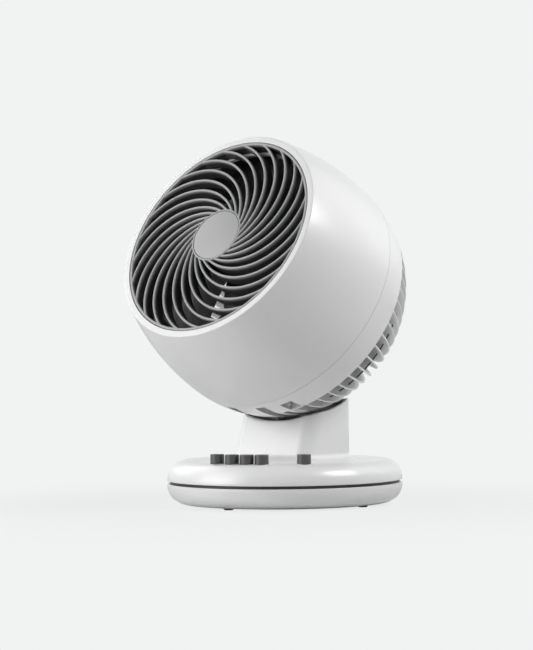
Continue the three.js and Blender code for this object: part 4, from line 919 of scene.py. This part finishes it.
def impeller():
    front = behind(FAN_HUB_FRONT)
    back = behind(FAN_HUB_FRONT + FAN_HUB_DEPTH)
    hub = lathe("fan_hub", rounded([
        (0, front), (FAN_HUB_RADIUS, front, 2.5), (FAN_HUB_RADIUS, back, 0.5),
        (FAN_HUB_RADIUS - FAN_HUB_WALL, back), (FAN_HUB_RADIUS - FAN_HUB_WALL, front + FAN_HUB_FACE),
        (0, front + FAN_HUB_FACE),
    ]), HEAD, FAN_ROUND)
    blades = [blade(i) for i in range(BLADE_COUNT)]
    finished(joined("fan_wheel", [hub, *blades]), "fan", "fan_black", "impeller")


# ---------------------------------------------------------------- the CAD nodes that stay
def dress_cad_nodes():
    """Gives each CAD node its slot's material and softened edges."""
    slot_of = {row["node"]: row["material_slot"] for row in frame["record"]["subparts"]}
    for name, node in frame["nodes"].items():
        material = SLOT_MATERIALS[slot_of[name]]
        for place in node.material_slots:
            place.material = material
        weld = node.modifiers.new("weld", "WELD")
        weld.merge_threshold = 1e-6
        edge = node.modifiers.new("edges", "BEVEL")
        edge.width = EDGE_SOFTENING * MM
        edge.segments = 2
        edge.limit_method = "ANGLE"
        edge.angle_limit = math.radians(40)
        even = node.modifiers.new("even", "WEIGHTED_NORMAL")
        even.keep_sharp = True


# ---------------------------------------------------------------- studio
BACKGROUND = (0.878, 0.896, 0.887)
FLOOR_RADIUS = 2.2             # metres, as all lengths in this section
FLOOR_COLOUR = 0.78            # what the lamps see of it
FLOOR_SHADOW = 0.13            # share of the real floor that shows at the object
SHADOW_WHOLE = 0.12            # distance out to which that share holds
SHADOW_GONE = 0.45
LAMP_DISTANCE = 1.6
LAMP_AIM = (0, 0, 0.18)
WORLD_LIGHT = 0.02


def seen_rays(tree):
    """1 for camera rays, and 1 for camera, mirror and glass rays."""
    path = tree.nodes.new("ShaderNodeLightPath")
    first = tree.nodes.new("ShaderNodeMath")
    first.operation = "MAXIMUM"
    tree.links.new(path.outputs["Is Camera Ray"], first.inputs[0])
    tree.links.new(path.outputs["Is Glossy Ray"], first.inputs[1])
    second = tree.nodes.new("ShaderNodeMath")
    second.operation = "MAXIMUM"
    tree.links.new(first.outputs[0], second.inputs[0])
    tree.links.new(path.outputs["Is Transmission Ray"], second.inputs[1])
    return path.outputs["Is Camera Ray"], second.outputs[0]


def world(strength):
    made = bpy.data.worlds.new("studio")
    bpy.context.scene.world = made
    made.use_nodes = True
    tree = made.node_tree
    out = tree.nodes["World Output"]
    light = tree.nodes["Background"]
    light.inputs["Color"].default_value = (1, 1, 1, 1)
    light.inputs["Strength"].default_value = strength
    seen = tree.nodes.new("ShaderNodeBackground")
    seen.inputs["Color"].default_value = (*BACKGROUND, 1)
    mix = tree.nodes.new("ShaderNodeMixShader")
    _, mirrored = seen_rays(tree)
    tree.links.new(mirrored, mix.inputs["Fac"])
    tree.links.new(light.outputs[0], mix.inputs[1])
    tree.links.new(seen.outputs[0], mix.inputs[2])
    tree.links.new(mix.outputs[0], out.inputs["Surface"])


def floor():
    mesh = bpy.data.meshes.new("floor")
    corners = [(FLOOR_RADIUS * math.cos(a), FLOOR_RADIUS * math.sin(a), 0)
               for a in (2 * math.pi * i / 64 for i in range(64))]
    mesh.from_pydata(corners, [], [tuple(range(64))])
    plane = bpy.data.objects.new("floor", mesh)
    bpy.context.scene.collection.objects.link(plane)
    made = bpy.data.materials.new("pale_floor")
    made.use_nodes = True
    tree = made.node_tree
    tree.nodes.remove(tree.nodes["Principled BSDF"])
    diffuse = tree.nodes.new("ShaderNodeBsdfDiffuse")
    diffuse.inputs["Color"].default_value = (*grey(FLOOR_COLOUR), 1)
    glow = tree.nodes.new("ShaderNodeEmission")
    glow.inputs["Color"].default_value = (*BACKGROUND, 1)
    place = tree.nodes.new("ShaderNodeTexCoord")
    distance = tree.nodes.new("ShaderNodeVectorMath")
    distance.operation = "LENGTH"
    tree.links.new(place.outputs["Object"], distance.inputs[0])
    fade = tree.nodes.new("ShaderNodeMapRange")
    fade.interpolation_type = "SMOOTHSTEP"
    fade.inputs["From Min"].default_value = SHADOW_WHOLE
    fade.inputs["From Max"].default_value = SHADOW_GONE
    fade.inputs["To Min"].default_value = 1 - FLOOR_SHADOW
    fade.inputs["To Max"].default_value = 1
    tree.links.new(distance.outputs["Value"], fade.inputs["Value"])
    camera, _ = seen_rays(tree)
    share = tree.nodes.new("ShaderNodeMath")
    share.operation = "MULTIPLY"
    tree.links.new(fade.outputs["Result"], share.inputs[0])
    tree.links.new(camera, share.inputs[1])
    mix = tree.nodes.new("ShaderNodeMixShader")
    tree.links.new(share.outputs[0], mix.inputs["Fac"])
    tree.links.new(diffuse.outputs[0], mix.inputs[1])
    tree.links.new(glow.outputs[0], mix.inputs[2])
    tree.links.new(mix.outputs[0], tree.nodes["Material Output"].inputs["Surface"])
    mesh.materials.append(made)


def softbox(name, azimuth, elevation, width, height, power):
    """A soft lamp of some watts that faces the object, its azimuth in degrees to the right of the camera."""
    a = math.radians(CAMERA_AZIMUTH + azimuth)
    e = math.radians(elevation)
    direction = Vector((math.sin(a) * math.cos(e), -math.cos(a) * math.cos(e), math.sin(e)))
    lamp = bpy.data.lights.new(name, "AREA")
    lamp.shape = "RECTANGLE"
    lamp.size = width
    lamp.size_y = height
    lamp.energy = power
    made = bpy.data.objects.new(name, lamp)
    made.location = Vector(LAMP_AIM) + direction * LAMP_DISTANCE
    made.rotation_mode = "QUATERNION"
    made.rotation_quaternion = direction.to_track_quat("Z", "Y")
    bpy.context.scene.collection.objects.link(made)


def studio():
    world(WORLD_LIGHT)
    floor()
    softbox("left_box", -70, 20, 1.2, 1.4, 14)
    softbox("left_low_box", -60, 2, 1.0, 0.8, 6)
    softbox("left_back_box", -125, 30, 1.2, 1.2, 7)
    softbox("right_box", 95, 35, 1.4, 1.2, 4)
    softbox("highlight_box", 66, 39, 0.6, 0.6, 14)
    softbox("right_back_box", 120, 30, 1.2, 1.2, 2)


def camera():
    data = bpy.data.cameras.new("camera")
    data.sensor_width = SENSOR_WIDTH
    data.lens = FOCAL_PIXELS * data.sensor_width / FRAME_HEIGHT_PIXELS
    made = bpy.data.objects.new("camera", data)
    bpy.context.scene.collection.objects.link(made)
    a = math.radians(CAMERA_AZIMUTH)
    turn = (Matrix.Rotation(a + math.radians(CAMERA_PAN), 4, "Z")
            @ Matrix.Rotation(math.radians(90 + CAMERA_PITCH), 4, "X")
            @ Matrix.Rotation(-math.radians(CAMERA_ROLL), 4, "Z"))
    place = Vector((CAMERA_DISTANCE * math.sin(a), -CAMERA_DISTANCE * math.cos(a), CAMERA_HEIGHT)) * MM
    made.matrix_world = Matrix.Translation(place) @ turn
    data.clip_start = 0.05
    bpy.context.scene.camera = made


# ---------------------------------------------------------------- everything
dress_cad_nodes()
lower_shell()
# black strip of painted shade in the base's groove
groove_shade_band()
upper_shell()
buttons()
feet()
neck()
front_shell()
rear_shell()
hoop()
grille()
hub_cap()
impeller()
studio()
camera()
bpy.context.scene.view_settings.view_transform = "Standard"
